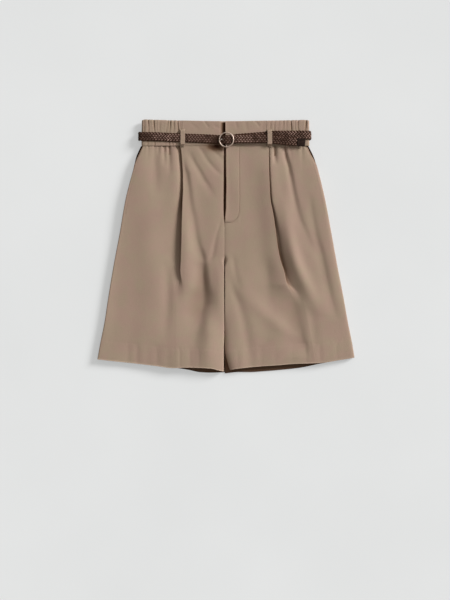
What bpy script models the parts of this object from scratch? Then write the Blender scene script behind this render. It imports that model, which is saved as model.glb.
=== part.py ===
# Pleated shorts with a half-elastic waist and a braided belt, laid flat on their back.
# Metres in the scene, millimetres in every named size below. +X is the wearer's left,
# +Y runs from the hems to the waist, +Z is up, away from the surface it lies on.
import math

import bmesh
import bpy
import numpy as np

MM = 0.001
SEAM_GAP = 0.3
RIGHT, LEFT = -1, 1  # the wearer's sides, as signs of X


def table(columns, *rows):
    """Rows of numbers under named columns."""
    return np.array(list(rows), dtype=[(name, float) for name in columns.split()])


# Cloth and bands
CLOTH = 1.1
HEM_TURN_UP = 0.8  # the folded hem's second layer, added on the inside
HEM_START = 0.914  # where the 38 mm hem begins, as a share of the way down from the waist seam
HEM_STEP = 0.003
CENTRE_X = -2.5
SEAM_Y = 201.2  # waist seam
WAIST_TOP = table("x y", (-169, 254.1), (-86, 251.6), (0, 250.4), (86, 251.4), (169, 253.2))
BAND_FRONT_OUT = 84.0  # flat front bands end here, measured out from the centre line
BAND_FACE_Z = 13.2
BAND_THICK = 2.0
ELASTIC_THICK = 2.4
ELASTIC_BACK_Z = 4.0  # the back band's outer face, above the belt that lies under it
ELASTIC_TURN = {RIGHT: -164.8, LEFT: 162.4}  # X of the side turns' centres
GATHER_DEPTH = 1.35
GATHER_WIDTH = 2.1
GATHERS = table(
    "x low strength",
    (-165.5, -164.5, 0.5), (-157.4, -158.4, 1.0), (-145.6, -143.2, 0.85), (-132.6, -132.0, 0.25),
    (-120.6, -124.2, 1.0), (-114.4, -113.0, 0.9), (-104.8, -105.6, 0.95), (-97.8, -98.8, 0.75),
    (95.6, 99.4, 0.85), (104.0, 106.6, 0.4), (113.6, 113.0, 0.35), (127.6, 122.6, 1.0), (136.0, 135.0, 0.2),
    (143.8, 140.6, 1.0), (155.6, 151.4, 1.0), (163.0, 162.0, 0.4),
)
BACK_GATHER_PITCH = 13.5
BACK_GATHER_DEPTH = 0.9

UNDERLAP_DROP = 2.9  # the fly underlap's middle below the front's own middle
UNDERLAP_X = (-13, -6, 0, 10, 22)
UNDERLAP_END_Y = 40.0

# Outline of the legs, measured out from the centre line
OUTLINE = table(
    "y right left",
    (202, 167.5, 167.5), (178, 178, 179), (155, 183, 186.5), (126, 191, 194), (93, 199, 201.5),
    (27, 210.5, 214), (-39, 223, 226), (-103, 233.7, 238.5), (-151, 241, 247), (-196, 250, 256),
    (-226, 255.4, 260.9),
)
INNER_EDGE = table(
    "y right left",
    (202, 1.3, 2.0), (183, 1.4, 2.1), (153, 1.6, 2.3), (123, 1.8, 2.8), (93, 2.1, 2.3), (77, 2.1, 2.2), (65, 1.8, 1.1),
    (48, 0.4, 0.4), (36, 0.3, 0.3), (-20, 0.3, 0.3), (-46, 1.1, -0.5), (-70, 1.0, -0.6), (-130, 0.9, -0.6),
    (-170, 1.0, -0.5),
    (-205, 1.8, 0.0), (-230, 1.9, 5.0), (-250, 1.8, 11.0),
)
BACK_INNER_EDGE = 0.3
FRONT_HEM = table(
    "out right left",
    (0, -250.5, -250), (12, -247.6, -246.5), (28, -243.6, -244), (73, -241.8, -239.6),
    (103, -242.8, -237.6), (140, -238.4, -234.6), (190, -232.6, -232.8), (230, -228.4, -227.0),
    (262, -224.6, -221.6),
)
BACK_HEM = table(
    "out right left",
    (0, -251.6, -254), (28, -252.6, -251.2), (50, -251.6, -251.4), (73, -247, -250),
    (103, -242.4, -247.6), (147, -237.6, -243), (190, -231.4, -234.4), (262, -223.4, -221.0),
)

# Heights of the front: the piece between the pleats, and the cloth outside them
LEVEL = table(
    "y centre outer",
    (202, 12.0, 11.2), (182, 12.3, 12.4), (150, 12.8, 13.8), (100, 13.2, 14.0), (50, 13.3, 13.2), (0, 13.2, 12.2),
    (-50, 12.9, 11.4), (-110, 12.4, 11.2), (-180, 12.0, 11.0), (-254, 11.6, 10.8),
)
# The edges' rounding: a soft fall over a width, then a sharp one down to what the edge is sewn to
SIDE_ROLL = {RIGHT: {"soft": 0.0, "width": 4.0}, LEFT: {"soft": 2.6, "width": 4.5}, "sharp": 0.3}
INNER_ROLL = {
    RIGHT: {"soft": 0.6, "width": 3.0, "from": -20.0, "to": -60.0},
    LEFT: {"soft": 4.5, "width": 7.0, "from": -120.0, "to": -190.0},
    "sharp": 0.3, "sewn": 3.0,
}
SIDE_STEPS = (0, 0.7, 2.0, 6)  # columns close to the side seam, then shares of the way to the pleat
OUTER_SHARES = np.linspace(0.125, 1, 8)
PLEAT_STEPS = (9, 5, 2)
INNER_SHARES = np.linspace(0, 7 / 8, 8)
INNER_STEPS = (6.5, 2.6, 1.0, 0)
SEAM_DIP = 0.7  # the fronts sink towards their seam, and step past each other at the fly
FLY_STEP = {RIGHT: 0.8, LEFT: -0.5}
HEM_LIFT = {"x": -62.0, "width": 58.0, "rise": 5.0, "from": -120.0, "to": -244.0}  # the right hem stands open
CROTCH_Y = -27.0
BACK_LIFT = 4.6  # the back's lower face at the waist seam; it is flat on the surface from LIFT_END_Y
LIFT_END_Y = 132.0
POCKET_MOUTH = {"top": SEAM_Y, "bottom": 60.0, "facing": 26.0, "inset": 2.6, "inset_from": 170.0, "inset_to": 186.0}

# Knife pleats: the fold's place, how far the cloth beside it lies lower, how far the hidden layers run
# under it, and how far out the cloth falls towards it, steepest beside the fold
PLEAT = table(
    "y right right_rise left left_rise",
    (202, 88.5, 3.4, 86.5, 3.4), (189, 86.2, 3.8, 86.8, 3.4), (163, 84.2, 4.2, 87.0, 3.6), (143, 83.2, 4.4, 87.6, 4.0),
    (113, 82.9, 5.6, 89.0, 5.0), (93, 83.8, 7.0, 90.2, 5.6), (73, 84.4, 8.4, 94.0, 6.4), (53, 84.9, 9.2, 97.4, 7.2),
    (23, 85.6, 9.8, 101.6, 8.4), (-5, 86.3, 10.0, 105.6, 9.2), (-28, 87.0, 9.2, 110.4, 9.6),
    (-47, 88.2, 7.2, 116.6, 9.0), (-73, 88.6, 3.4, 124.8, 6.6), (-92, 88.6, 1.2, 138, 3.2),
    (-120, 88, 0.0, 150, 0.6), (-190, 88, 0.0, 165, 0.0), (-254, 88, 0.0, 175, 0.0),
)
PLEAT_DEPTH = table("y depth", (202, 22), (100, 14), (0, 5), (-40, 2), (-254, 2))
PLEAT_EDGE = 0.8  # radius of the visible fold, along its middle surface
PLEAT_OPENS = {RIGHT: (-44.0, -90.0), LEFT: (-50.0, -98.0)}
PLEAT_SPREAD = 9.0
PLEAT_DIP = table(
    "y right left",
    (202, 3.5, 3.0), (160, 3.5, 3.0), (133, 4.0, 3.0), (93, 7.0, 4.0), (53, 17.0, 6.5), (13, 21.0, 8.5),
    (-28, 20.0, 9.0), (-60, 18.0, 10.0), (-100, 18.0, 13.0),
)
CREST = {"share": 0.42, "from": 186.0, "to": 150.0, "width": {RIGHT: 17.0, LEFT: 23.0}}

# Soft folds, each along its own line from the top down: troughs below the cloth around them, ridges above.
# The first number is how many times wider a fold is on the wearer's right of its line
FOLDS = [(wider, table("x y depth width", *rows)) for wider, rows in (
    (2.2, ((-86, 180, 0, 5), (-84, 163, -1.4, 5), (-79, 143, -2.8, 5.5), (-77.5, 133, -3.0, 5.5), (-75, 113, -2.8, 6),
           (-73, 93, -2.8, 6.5), (-70, 73, -2.6, 7), (-66, 53, -2.4, 7.5), (-61, 23, -2.2, 7), (-56, 3, -2.1, 6.5),
           (-49, -17, -1.5, 6), (-46, -32, 0, 6))),
    (1.0, ((-9, 62, 0, 3.5), (-12, 45, -1.0, 3.8), (-19, 22, -1.2, 4.5), (-23, 3, -1.4, 5), (-27, -17, -1.3, 5.5),
           (-34, -34, 0, 6))),
    (2.0, ((-49, -4, 0, 6), (-47, -28, -2.6, 7.5), (-46, -50, -5.8, 8), (-45, -78, -7.6, 10), (-46, -104, -8.2, 15),
           (-50, -130, -7.0, 15), (-54, -150, -4.6, 14), (-62, -176, -2.4, 13.5), (-66, -207, -1.4, 13),
           (-68, -234, -1.0, 13), (-69, -258, -0.6, 13))),
    (0.75, ((-37, -116, 0, 20), (-35, -146, 2.6, 21), (-33, -177, 4.6, 22), (-34, -207, 4.4, 23), (-32, -234, 3.2, 24),
           (-30, -258, 2.4, 24))),
    (1.0, ((-22, -20, 0, 9), (-16, -60, 0.9, 10), (-14, -110, 0.9, 10), (-18, -150, 0, 10))),
    (1.4, ((-74, 194, 0, 5), (-66, 173, -1.5, 5), (-53, 150, -1.8, 5.5), (-44, 133, -1.8, 6), (-33, 115, -1.2, 7),
           (-24, 93, 0, 8))),
    (1.0, ((-58, 204, 0, 5), (-48, 191, -1.2, 5.5), (-37, 172, -1.4, 6), (-21, 153, -1.3, 7), (-8, 138, 0, 8))),
    (1.0, ((-40, 203, 0, 6), (-24, 190, -0.7, 6), (-10, 176, -0.7, 7), (-2, 160, 0, 7))),
    (1.6, ((-119, -28, 0, 7), (-117, -60, -1.3, 7), (-116, -110, -1.6, 7), (-119, -152, -1.2, 8), (-122, -196, 0, 8))),
    (1.0, ((-124, 207, 0, 3.5), (-124, 198, -1.9, 3.6), (-123, 178, -1.5, 4), (-122, 158, 0, 5))),
    (1.0, ((-115, 207, 0, 3.5), (-114, 198, -2.2, 3.8), (-113, 172, -1.6, 4.5), (-112, 140, 0, 5))),
    (1.5, ((-141, 205, 0, 6), (-141, 182, -1.2, 7), (-140, 140, -1.4, 8), (-142, 100, 0, 9))),
    (1.0, ((98, 207, 0, 3.6), (98, 198, -3.6, 4), (98, 184, -3.8, 4.2), (98, 170, -4.2, 4.6), (99, 148, 0, 5))),
    (1.6, ((118, 207, 0, 4), (118, 193, -3.0, 4), (121, 177, -3.6, 4.2), (125, 163, -3.4, 4.5), (129, 143, -3.2, 5),
           (134, 113, -2.6, 5), (138, 93, -2.6, 5.5), (142, 73, -2.0, 6), (148, 53, -1.6, 6.5), (157, 33, -1.3, 7),
           (166, 8, -1.0, 7), (176, -18, 0, 8))),
    (1.6, ((167, 108, 0, 6), (170, 80, -1.0, 6), (174, 53, -1.3, 6.5), (182, 13, -1.6, 7), (188, -7, -1.9, 7.5),
           (201, -67, -2.1, 8), (214, -122, -1.2, 8), (222, -150, 0, 8))),
    (1.0, ((8, -48, 0, 9), (14, -84, -1.1, 9), (27, -118, -1.6, 10), (38, -160, -1.8, 11), (46, -210, -1.7, 12),
           (52, -256, -1.2, 12))),
    (1.6, ((82, -18, 0, 8), (83, -50, -0.9, 8), (85, -90, -0.8, 9), (88, -122, 0, 9))),
    (1.0, ((14, -12, 0, 7), (16, -36, -0.8, 6), (22, -66, -0.8, 7), (30, -92, 0, 8))),
    (2.4, ((122, -76, 0, 16), (130, -107, -3.8, 19), (136, -130, -4.4, 19), (141, -155, -3.8, 17), (150, -187, -3.4, 11),
           (156, -222, 0, 12))),
    (1.0, ((166, -120, 0, 8), (173, -147, -1.0, 9), (177, -187, -0.6, 9), (182, -215, 0, 9))),
    (1.0, ((112, 110, 0, 10), (120, 60, 1.6, 11), (129, 10, 3.8, 12), (138, -28, 5.4, 12.5), (151, -62, 5.4, 15),
           (167, -96, 3.2, 16), (190, -140, 0, 15))),
    (1.0, ((10, -28, 0, 14), (45, -100, 1.1, 19), (105, -158, 1.8, 22), (150, -194, 0, 20))),
    (1.0, ((84, 194, 0, 16), (85, 165, 1.5, 17), (88, 120, 2.0, 19), (98, 60, 1.3, 20), (106, 0, 0, 20))),
    (1.0, ((18, 190, 0, 14), (17, 150, 0.9, 14), (22, 100, 0.8, 16), (30, 50, 0, 16))),
)]

# Belt: middle line and height of the strap. Tail side first, then the buckle's own strap
STRAP_WIDTH = 17.5
STRAP_THICK = 2.4
FRONT_STRAP_Z = 14.7
BRAID_PITCH = 6.0
BRAID_RELIEF = 0.45
BACK_STRAP_Z = 2.5
BACK_STRAP_Y = 221.4
STRAP_TURN = {RIGHT: -168.2, LEFT: 163.4}
TAIL = table(
    "x y z",
    (-150, 219.4, FRONT_STRAP_Z), (-94, 217.0, FRONT_STRAP_Z), (-26, 214.2, FRONT_STRAP_Z),
    (-13.6, 213.2, FRONT_STRAP_Z), (-9.8, 212.9, 15.0), (-4.6, 212.7, 18.5), (0.8, 212.6, 20.6),
    (5.6, 213.0, 19.4), (11, 213.6, 17.5), (18, 214.2, 17.4), (80, 214.6, 17.6), (96, 212.8, 17.6),
    (141.6, 208.2, 17.4),
)
BUCKLE_STRAP = table("x y", (19.6, 215.6), (80, 220.4), (96, 222.0), (150, 222.4))
TIP = {"start": 141.9, "end": 158.0, "y": 208.2, "fall": -0.1, "z": 17.4, "thick": 2.2, "width": 15.8}

RING = {"x": 0.8, "y": 212.4, "z": 19.1, "radius": 14.2, "wire": 1.3, "tilt": 7.0}
BAR = {"drop": 2.1, "radius": 0.9}
TAB = {"width": 15.0, "thick": 1.0, "end": 19.2, "low": 14.0, "high": 15.3}
PRONG = {"wire": 0.75, "hole": 1.7, "hole_x": -4.0, "hole_z": 18.8, "hole_lean": -32.0, "y": 213.0}
PRONG_ROUTE = (
    (-2.6, 16.6), (-3.2, 17.5), (-4.2, 19.1), (-5.1, 20.4), (-6.6, 20.9), (-9.5, 20.6), (-12.5, 20.0),
    (-15.0, 19.5),
)

# Belt loops: middle, ends and the height of the stretch that bridges the belt
LOOPS = table(
    "x top bottom bridge foot",
    (-86.7, 234.8, 199.6, 16.9, 14.05),
    (87.0, 233.4, 199.4, 19.9, 14.05),
    (-96.0, 236.0, 202.4, 0.55, 3.1),
    (0.0, 236.0, 202.4, 0.55, 3.1),
    (96.0, 236.0, 202.4, 0.55, 3.1),
)
LOOP_NAMES = ("loop_front_right", "loop_front_left", "loop_back_right", "loop_back_centre", "loop_back_left")
LOOP_WIDTH = 9.6
LOOP_THICK = 1.1

# Base colours, roughness and metallic value of each finish
FINISHES = {
    "twill": ((0.33, 0.25, 0.19), 0.9, 0.0),
    "braid": ((0.05, 0.022, 0.016), 0.55, 0.0),
    "leather": ((0.025, 0.014, 0.011), 0.4, 0.0),
    "metal": ((0.55, 0.43, 0.33), 0.3, 1.0),
}


def smooth(value, start, end):
    """Eases from 0 at start to 1 at end; end may be the smaller."""
    share = np.clip((np.asarray(value, float) - start) / (end - start), 0, 1)
    return share * share * (3 - 2 * share)


def through(rows, key, name, at):
    """A smooth curve through one column of a table, never past its values, read against its key column."""
    order = np.argsort(rows[key])
    x, y = rows[key][order], rows[name][order]
    at = np.clip(at, x[0], x[-1])
    step = np.diff(y) / np.diff(x)
    both = step[:-1] * step[1:]
    middle = np.where(both > 0, 2 * both / np.where(both > 0, step[:-1] + step[1:], 1), 0)
    slope = np.concatenate([step[:1], middle, step[-1:]])
    i = np.clip(np.searchsorted(x, at, side="right") - 1, 0, len(x) - 2)
    h = x[i + 1] - x[i]
    u = (at - x[i]) / h
    start = y[i] * (1 + 2 * u) * (1 - u) ** 2 + slope[i] * h * u * (1 - u) ** 2
    end = y[i + 1] * u * u * (3 - 2 * u) + slope[i + 1] * h * u * u * (u - 1)
    return start + end


def side_name(side):
    return "right" if side == RIGHT else "left"


def material(finish):
    found = bpy.data.materials.get(finish)
    if found:
        return found
    made = bpy.data.materials.new(finish)
    made.use_nodes = True
    colour, roughness, metallic = FINISHES[finish]
    shader = made.node_tree.nodes["Principled BSDF"]
    shader.inputs["Base Color"].default_value = (*colour, 1)
    shader.inputs["Roughness"].default_value = roughness
    shader.inputs["Metallic"].default_value = metallic
    made.diffuse_color = (*colour, 1)
    return made


def new_collection(name, shown=True):
    made = bpy.data.collections.new(name)
    made.hide_render = not shown
    bpy.context.scene.collection.children.link(made)
    return made


def add_mesh(name, points, faces, finish, group, rounded=True):
    """A closed mesh object whose faces are turned to point outwards."""
    mesh = bpy.data.meshes.new(name)
    mesh.from_pydata((np.asarray(points) * MM).tolist(), [], faces)
    shape = bmesh.new()
    shape.from_mesh(mesh)
    bmesh.ops.recalc_face_normals(shape, faces=shape.faces)
    shape.to_mesh(mesh)
    shape.free()
    if rounded:
        mesh.shade_smooth()
        mesh.set_sharp_from_angle(angle=math.radians(50))
    mesh.materials.append(material(finish))
    made = bpy.data.objects.new(name, mesh)
    group.objects.link(made)
    return made


def wall(name, face, lining, finish, group):
    """A wall between two grids of points: its face, its inside, and the rim that joins them."""
    rows, columns = face.shape[:2]
    index = np.arange(rows * columns).reshape(rows, columns)
    quads = np.stack([index[:-1, :-1], index[1:, :-1], index[1:, 1:], index[:-1, 1:]], -1).reshape(-1, 4)
    inside = quads[:, ::-1] + rows * columns
    border = np.concatenate([index[0], index[1:, -1], index[-1, -2::-1], index[-2:0:-1, 0]])
    following = np.roll(border, -1)
    rim = np.stack([border, following, following + rows * columns, border + rows * columns], -1)
    points = np.concatenate([face.reshape(-1, 3), lining.reshape(-1, 3)])
    return add_mesh(name, points, np.concatenate([quads, inside, rim]).tolist(), finish, group)


def loft(name, rings, finish, group, rounded=True):
    """A solid through closed sections, capped at both ends."""
    count, around = rings.shape[:2]
    index = np.arange(count * around).reshape(count, around)
    after = np.roll(index, -1, axis=1)
    quads = np.stack([index[:-1], after[:-1], after[1:], index[1:]], -1).reshape(-1, 4)
    faces = quads.tolist() + [index[0].tolist(), index[-1].tolist()]
    return add_mesh(name, rings.reshape(-1, 3), faces, finish, group, rounded)


def along(path):
    """Unit directions along a path of points."""
    way = np.gradient(path, axis=0)
    return way / np.linalg.norm(way, axis=-1, keepdims=True)


def fold_height(x, y):
    """The soft folds' height at each point: bells across each fold's line, as deep and wide as it is at that y."""
    lift = HEM_LIFT["rise"] * smooth(y, HEM_LIFT["from"], HEM_LIFT["to"])
    total = lift * np.exp(-(((x - HEM_LIFT["x"]) / HEM_LIFT["width"]) ** 2))
    for wider, fold in FOLDS:
        line, depth, width = (through(fold, "y", name, y) for name in ("x", "depth", "width"))
        width = width * np.where(x < line, wider, 1)
        total = total + depth * np.exp(-(((x - line) / width) ** 2))
    return total


def back_lift(y):
    """The lower face of the back: flat on the surface, raised near the waist by the belt."""
    return BACK_LIFT * smooth(y, LIFT_END_Y, SEAM_Y)


def pocket_share(y):
    """1 along the pocket mouth, where the side edge lies on the facing, and 0 below it."""
    return smooth(y, POCKET_MOUTH["bottom"] - 24, POCKET_MOUTH["bottom"])


def edge_height(y):
    """Where the front's middle surface starts, just above what it is sewn to."""
    return back_lift(y) + CLOTH + 0.5 + pocket_share(y) * (CLOTH + SEAM_GAP)


def pleat_section(side, y):
    """Places and heights, from the outside in, of the pleat's S-shaped fold."""
    name = side_name(side)
    line = through(PLEAT, "y", name, y)
    rise = through(PLEAT, "y", name + "_rise", y)
    depth = through(PLEAT_DEPTH, "y", "depth", y)
    high = through(LEVEL, "y", "centre", y) + CREST["share"] * rise * smooth(y, CREST["from"], CREST["to"])
    low = high - rise
    edge = np.minimum(PLEAT_EDGE, rise / 4)
    radius = rise / 2 - edge
    turn = np.radians([-90, -30, 30, 90])
    out = [line + 3, line - depth / 2]
    height = [low, low]
    out += [line - depth - radius * np.cos(a) for a in turn]
    height += [low + radius + radius * np.sin(a) for a in turn]
    out += [line - depth / 2]
    height += [low + 2 * radius]
    out += [line + edge * np.cos(a) for a in turn]
    height += [high - edge + edge * np.sin(a) for a in turn]
    out, height = np.array(out), np.array(height)
    share = np.linspace(0, 1, len(out)).reshape(-1, *[1] * np.ndim(y))
    open_out = line + PLEAT_SPREAD * (1 - 2 * share)
    open_height = low + rise * share * share * (3 - 2 * share)
    opened = smooth(y, *PLEAT_OPENS[side])
    return out + (open_out - out) * opened, height + (open_height - height) * opened


def column(values):
    """Values set along the first axis, to meet a grid of rows and columns."""
    return np.asarray(values, float).reshape(-1, 1, 1)


def front_middle(side, y):
    """The front's middle surface at each y: places of its columns, from the side seam in, and heights."""
    name = side_name(side)
    legs = 1 - smooth(y, CROTCH_Y - 16, CROTCH_Y + 12)
    fly = smooth(y, 40, 60)
    mouth = POCKET_MOUTH["inset"] * smooth(y, POCKET_MOUTH["inset_from"], POCKET_MOUTH["inset_to"])
    edge = through(OUTLINE, "y", name, y) - CLOTH / 2 - mouth
    inner = through(INNER_EDGE, "y", name, y) + (1 - (1 - legs) ** 3) * CLOTH / 2
    outer_z, centre_z = through(LEVEL, "y", "outer", y), through(LEVEL, "y", "centre", y)
    start_z = edge_height(y)
    pleat, pleat_z = pleat_section(side, y)

    start, last = edge - SIDE_STEPS[-1], pleat[0] + 16
    outside = np.concatenate([
        edge - column(SIDE_STEPS), start + (last - start) * column(OUTER_SHARES), pleat[0] + column(PLEAT_STEPS),
    ])
    dip = (outer_z - pleat_z[0]) * np.exp((pleat[0] - outside) / through(PLEAT_DIP, "y", name, y))
    soft = SIDE_ROLL[side]["soft"] * np.exp((outside - edge) / SIDE_ROLL[side]["width"])
    rising = 1 - np.exp((outside - edge) / SIDE_ROLL["sharp"])
    outside_z = start_z + (outer_z - dip - soft - start_z) * rising

    first = pleat[-1] - 4
    inside = np.concatenate([
        first + (inner + INNER_STEPS[0] - first) * column(INNER_SHARES), inner + column(INNER_STEPS),
    ])
    sewn_or_fly = (1 - fly) * SEAM_DIP + fly * FLY_STEP[side]
    drop = legs * (centre_z - start_z) + (1 - legs) * sewn_or_fly
    crest = (pleat_z[-1] - centre_z) * np.exp(-(((pleat[-1] - inside) / CREST["width"][side]) ** 2))
    rounding = INNER_ROLL[side]
    soft = rounding["soft"] * smooth(y, rounding["from"], rounding["to"]) * legs
    sharp = INNER_ROLL["sharp"] + (INNER_ROLL["sewn"] - INNER_ROLL["sharp"]) * (1 - legs)
    inside_z = centre_z + crest - soft * np.exp((inner - inside) / rounding["width"])
    inside_z = inside_z - (drop - soft) * np.exp((inner - inside) / sharp)

    places = np.concatenate([outside, pleat, inside])
    heights = np.concatenate([outside_z, pleat_z, inside_z])
    near_seams = (1 - np.exp((places - edge) / 7)) * (1 - 0.7 * legs * np.exp((inner - places) / 7))
    x = CENTRE_X + side * places
    return x, heights + fold_height(x, y) * near_seams


def column_places(side):
    """Each column's place out from the centre line near the hem, which sets how far down it ends."""
    x, _ = front_middle(side, np.full((1, 1), -236.0))
    return np.clip((x.reshape(-1) - CENTRE_X) * side, 0, None)


def front_panel(side, group):
    name = side_name(side)
    leg = np.linspace(0.2, HEM_START - HEM_STEP, 15)[1:]
    rows = np.concatenate([np.linspace(0, 0.2, 7), leg, [HEM_START + HEM_STEP, 0.96, 1]])
    hem = through(FRONT_HEM, "out", name, column_places(side))
    top = SEAM_Y - SEAM_GAP / 2
    y = top + (hem.reshape(-1, 1) - top) * rows
    x, z = front_middle(side, y)
    own = np.arange(len(y))  # column n of the surface, on row heights that are its own
    x, z = x[own, own], z[own, own]
    step_x, step_z = np.gradient(x, axis=0) * side, np.gradient(z, axis=0)
    length = np.hypot(step_x, step_z)
    across_x, across_z = step_z / length * side, -step_x / length
    from_edges = np.minimum(np.abs(x - x[:1]), np.abs(x - x[-1:]))
    turned_up = np.where(rows > HEM_START, HEM_TURN_UP, 0) * smooth(from_edges, 3, 12)
    face = np.stack([x + across_x * CLOTH / 2, y, z + across_z * CLOTH / 2], -1)
    below = CLOTH / 2 + turned_up
    lining = np.stack([x - across_x * below, y, z - across_z * below], -1)
    return wall("front_" + name, face, lining, "twill", group)


def back_panel(side, group):
    name = side_name(side)
    leg = np.linspace(0.16, HEM_START - HEM_STEP, 8)[1:]
    rows = np.concatenate([np.linspace(0, 0.16, 5), leg, [HEM_START + HEM_STEP, 1]])
    share = np.linspace(0, 1, 17).reshape(-1, 1)
    hem = through(BACK_HEM, "out", name, share * 258)
    top = SEAM_Y - SEAM_GAP / 2
    y = top + (hem - top) * rows
    out = BACK_INNER_EDGE + (through(OUTLINE, "y", name, y) - 0.3 - BACK_INNER_EDGE) * share
    gathers = 0.5 + 0.5 * np.cos(2 * math.pi * out / BACK_GATHER_PITCH)
    edges = smooth(share, 0, 0.1) * (1 - smooth(share, 0.88, 0.97))
    low = back_lift(y) + BACK_GATHER_DEPTH * gathers * edges * smooth(y, LIFT_END_Y, SEAM_Y)
    x = CENTRE_X + side * out
    turned_up = np.where(rows > HEM_START, HEM_TURN_UP * 0.7, 0)
    face = np.stack([x, y, low], -1)
    lining = np.stack([x, y, low + CLOTH + turned_up * edges], -1)
    return wall("back_" + name, face, lining, "twill", group)


def pocket_facing(side, group):
    """The strip of the pocket that lies behind its mouth, along the side edge."""
    y = np.linspace(POCKET_MOUTH["top"] - SEAM_GAP / 2, POCKET_MOUTH["bottom"] + 2, 9)
    edge = through(OUTLINE, "y", side_name(side), y) - 0.5
    width = POCKET_MOUTH["facing"] * (1 - 0.6 * smooth(y, 110, POCKET_MOUTH["bottom"]))
    share = np.array([0, 0.35, 1]).reshape(-1, 1)
    x = CENTRE_X + side * (edge - width * share)
    low = back_lift(y) + CLOTH + SEAM_GAP + BACK_GATHER_DEPTH * smooth(y, LIFT_END_Y, SEAM_Y) * share
    face = np.stack([x, y + 0 * x, low + CLOTH], -1)
    lining = np.stack([x, y + 0 * x, low], -1)
    return wall("pocket_facing_" + side_name(side), face, lining, "twill", group)


def fly_underlap(group):
    """The strip sewn behind the right front's fly edge, seen down the gap of the fly."""
    y = np.linspace(SEAM_Y - SEAM_GAP / 2, UNDERLAP_END_Y, 8)
    x = np.array(UNDERLAP_X).reshape(-1, 1) + 0 * y
    middle = through(LEVEL, "y", "centre", y) - UNDERLAP_DROP + fold_height(x, y)
    face = np.stack([x, y + 0 * x, middle + CLOTH / 2], -1)
    lining = np.stack([x, y + 0 * x, middle - CLOTH / 2], -1)
    return wall("fly_underlap", face, lining, "twill", group)


def front_band(side, group):
    """The flat half of the waistband at the front. The right one runs on under the left one."""
    level = BAND_FACE_Z - BAND_THICK / 2
    outer = CENTRE_X + side * BAND_FRONT_OUT
    if side == RIGHT:
        x = np.array([outer, -70, -52, -34, -18, -12, -8, -4.6, 0, 8, 17])
        z = level - (BAND_THICK + SEAM_GAP + 0.1) * smooth(x, -14, -4.6)
    else:
        x = np.array([-0.8, 2, 6, 14, 30, 48, 66, outer])
        z = level + 0.5 * np.exp(-(x + 0.8) / 4)
    bottom = SEAM_Y + SEAM_GAP / 2
    rows = np.linspace(0, 1, 5).reshape(-1, 1)
    y = bottom + (through(WAIST_TOP, "x", "y", x) - 0.6 * (x > 0) * (side == RIGHT) - bottom) * rows
    grid_x = x + 0 * y
    face = np.stack([grid_x, y, z + BAND_THICK / 2 + 0 * y], -1)
    lining = np.stack([grid_x, y, z - BAND_THICK / 2 + 0 * y], -1)
    return wall("waistband_front_" + side_name(side), face, lining, "twill", group)


def round_path(front_z, back_z, turn_x, ends, counts):
    """X and Z of a flat loop open at the front: out to one side, round, along the back, and round again."""
    middle, radius = (front_z + back_z) / 2, (front_z - back_z) / 2
    turn = np.linspace(90, -90, counts["turn"])[1:-1]
    right_turn = np.radians(180 - turn)
    left_turn = np.radians(turn[::-1])
    start = np.linspace(ends[RIGHT], turn_x[RIGHT], counts["front"])
    back = np.linspace(turn_x[RIGHT], turn_x[LEFT], counts["back"])
    finish = np.linspace(turn_x[LEFT], ends[LEFT], counts["front"])
    x = np.concatenate([
        start, turn_x[RIGHT] + radius * np.cos(right_turn), back,
        turn_x[LEFT] + radius * np.cos(left_turn), finish,
    ])
    z = np.concatenate([
        front_z + 0 * start, middle + radius * np.sin(right_turn), back_z + 0 * back,
        middle + radius * np.sin(left_turn), front_z + 0 * finish,
    ])
    return x, z


def gather_depth(x, front, share):
    """How far the gathers pull the elastic band's face in: leaning ones in front, even ones behind."""
    line = GATHERS["low"] + (GATHERS["x"] - GATHERS["low"]) * smooth(share, 0.15, 0.75)[..., None]
    offset = (x[..., None] - line) / GATHER_WIDTH
    ahead = GATHER_DEPTH * (GATHERS["strength"] * np.exp(-(offset**2))).sum(-1)
    behind = BACK_GATHER_DEPTH * (0.5 - 0.5 * np.cos(2 * math.pi * x / BACK_GATHER_PITCH))
    return np.where(front, np.minimum(ahead, GATHER_DEPTH), behind)


def elastic_band(group):
    """The gathered waistband: from one flat front band round both sides and across the back."""
    half = ELASTIC_THICK / 2
    ends = {side: CENTRE_X + side * (BAND_FRONT_OUT + SEAM_GAP) for side in (RIGHT, LEFT)}
    counts = {"front": 30, "turn": 7, "back": 66}
    x, z = round_path(BAND_FACE_Z - half, ELASTIC_BACK_Z + half, ELASTIC_TURN, ends, counts)
    way = along(np.stack([x, z], -1))
    out_x, out_z = way[:, 1], -way[:, 0]
    front = z > BAND_FACE_Z - half - 0.01
    rows = np.array([0, 0.2, 0.5, 0.8, 1]).reshape(-1, 1)
    pulled = gather_depth(x, front, rows)
    top = through(WAIST_TOP, "x", "y", x) - np.where(front, 0, 1.2) - 0.9 * pulled[-1]
    bottom = SEAM_Y + SEAM_GAP / 2
    held = np.array([1, 0.9, 0.45, 0.9, 0.7]).reshape(-1, 1)
    y = bottom + (top - bottom) * rows
    face_off = half - pulled * held
    face = np.stack([x + out_x * face_off, y, z + out_z * face_off], -1)
    lining = np.stack([x - out_x * half + 0 * y, y, z - out_z * half + 0 * y], -1)
    return wall("waistband_elastic", face, lining, "twill", group)


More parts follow.
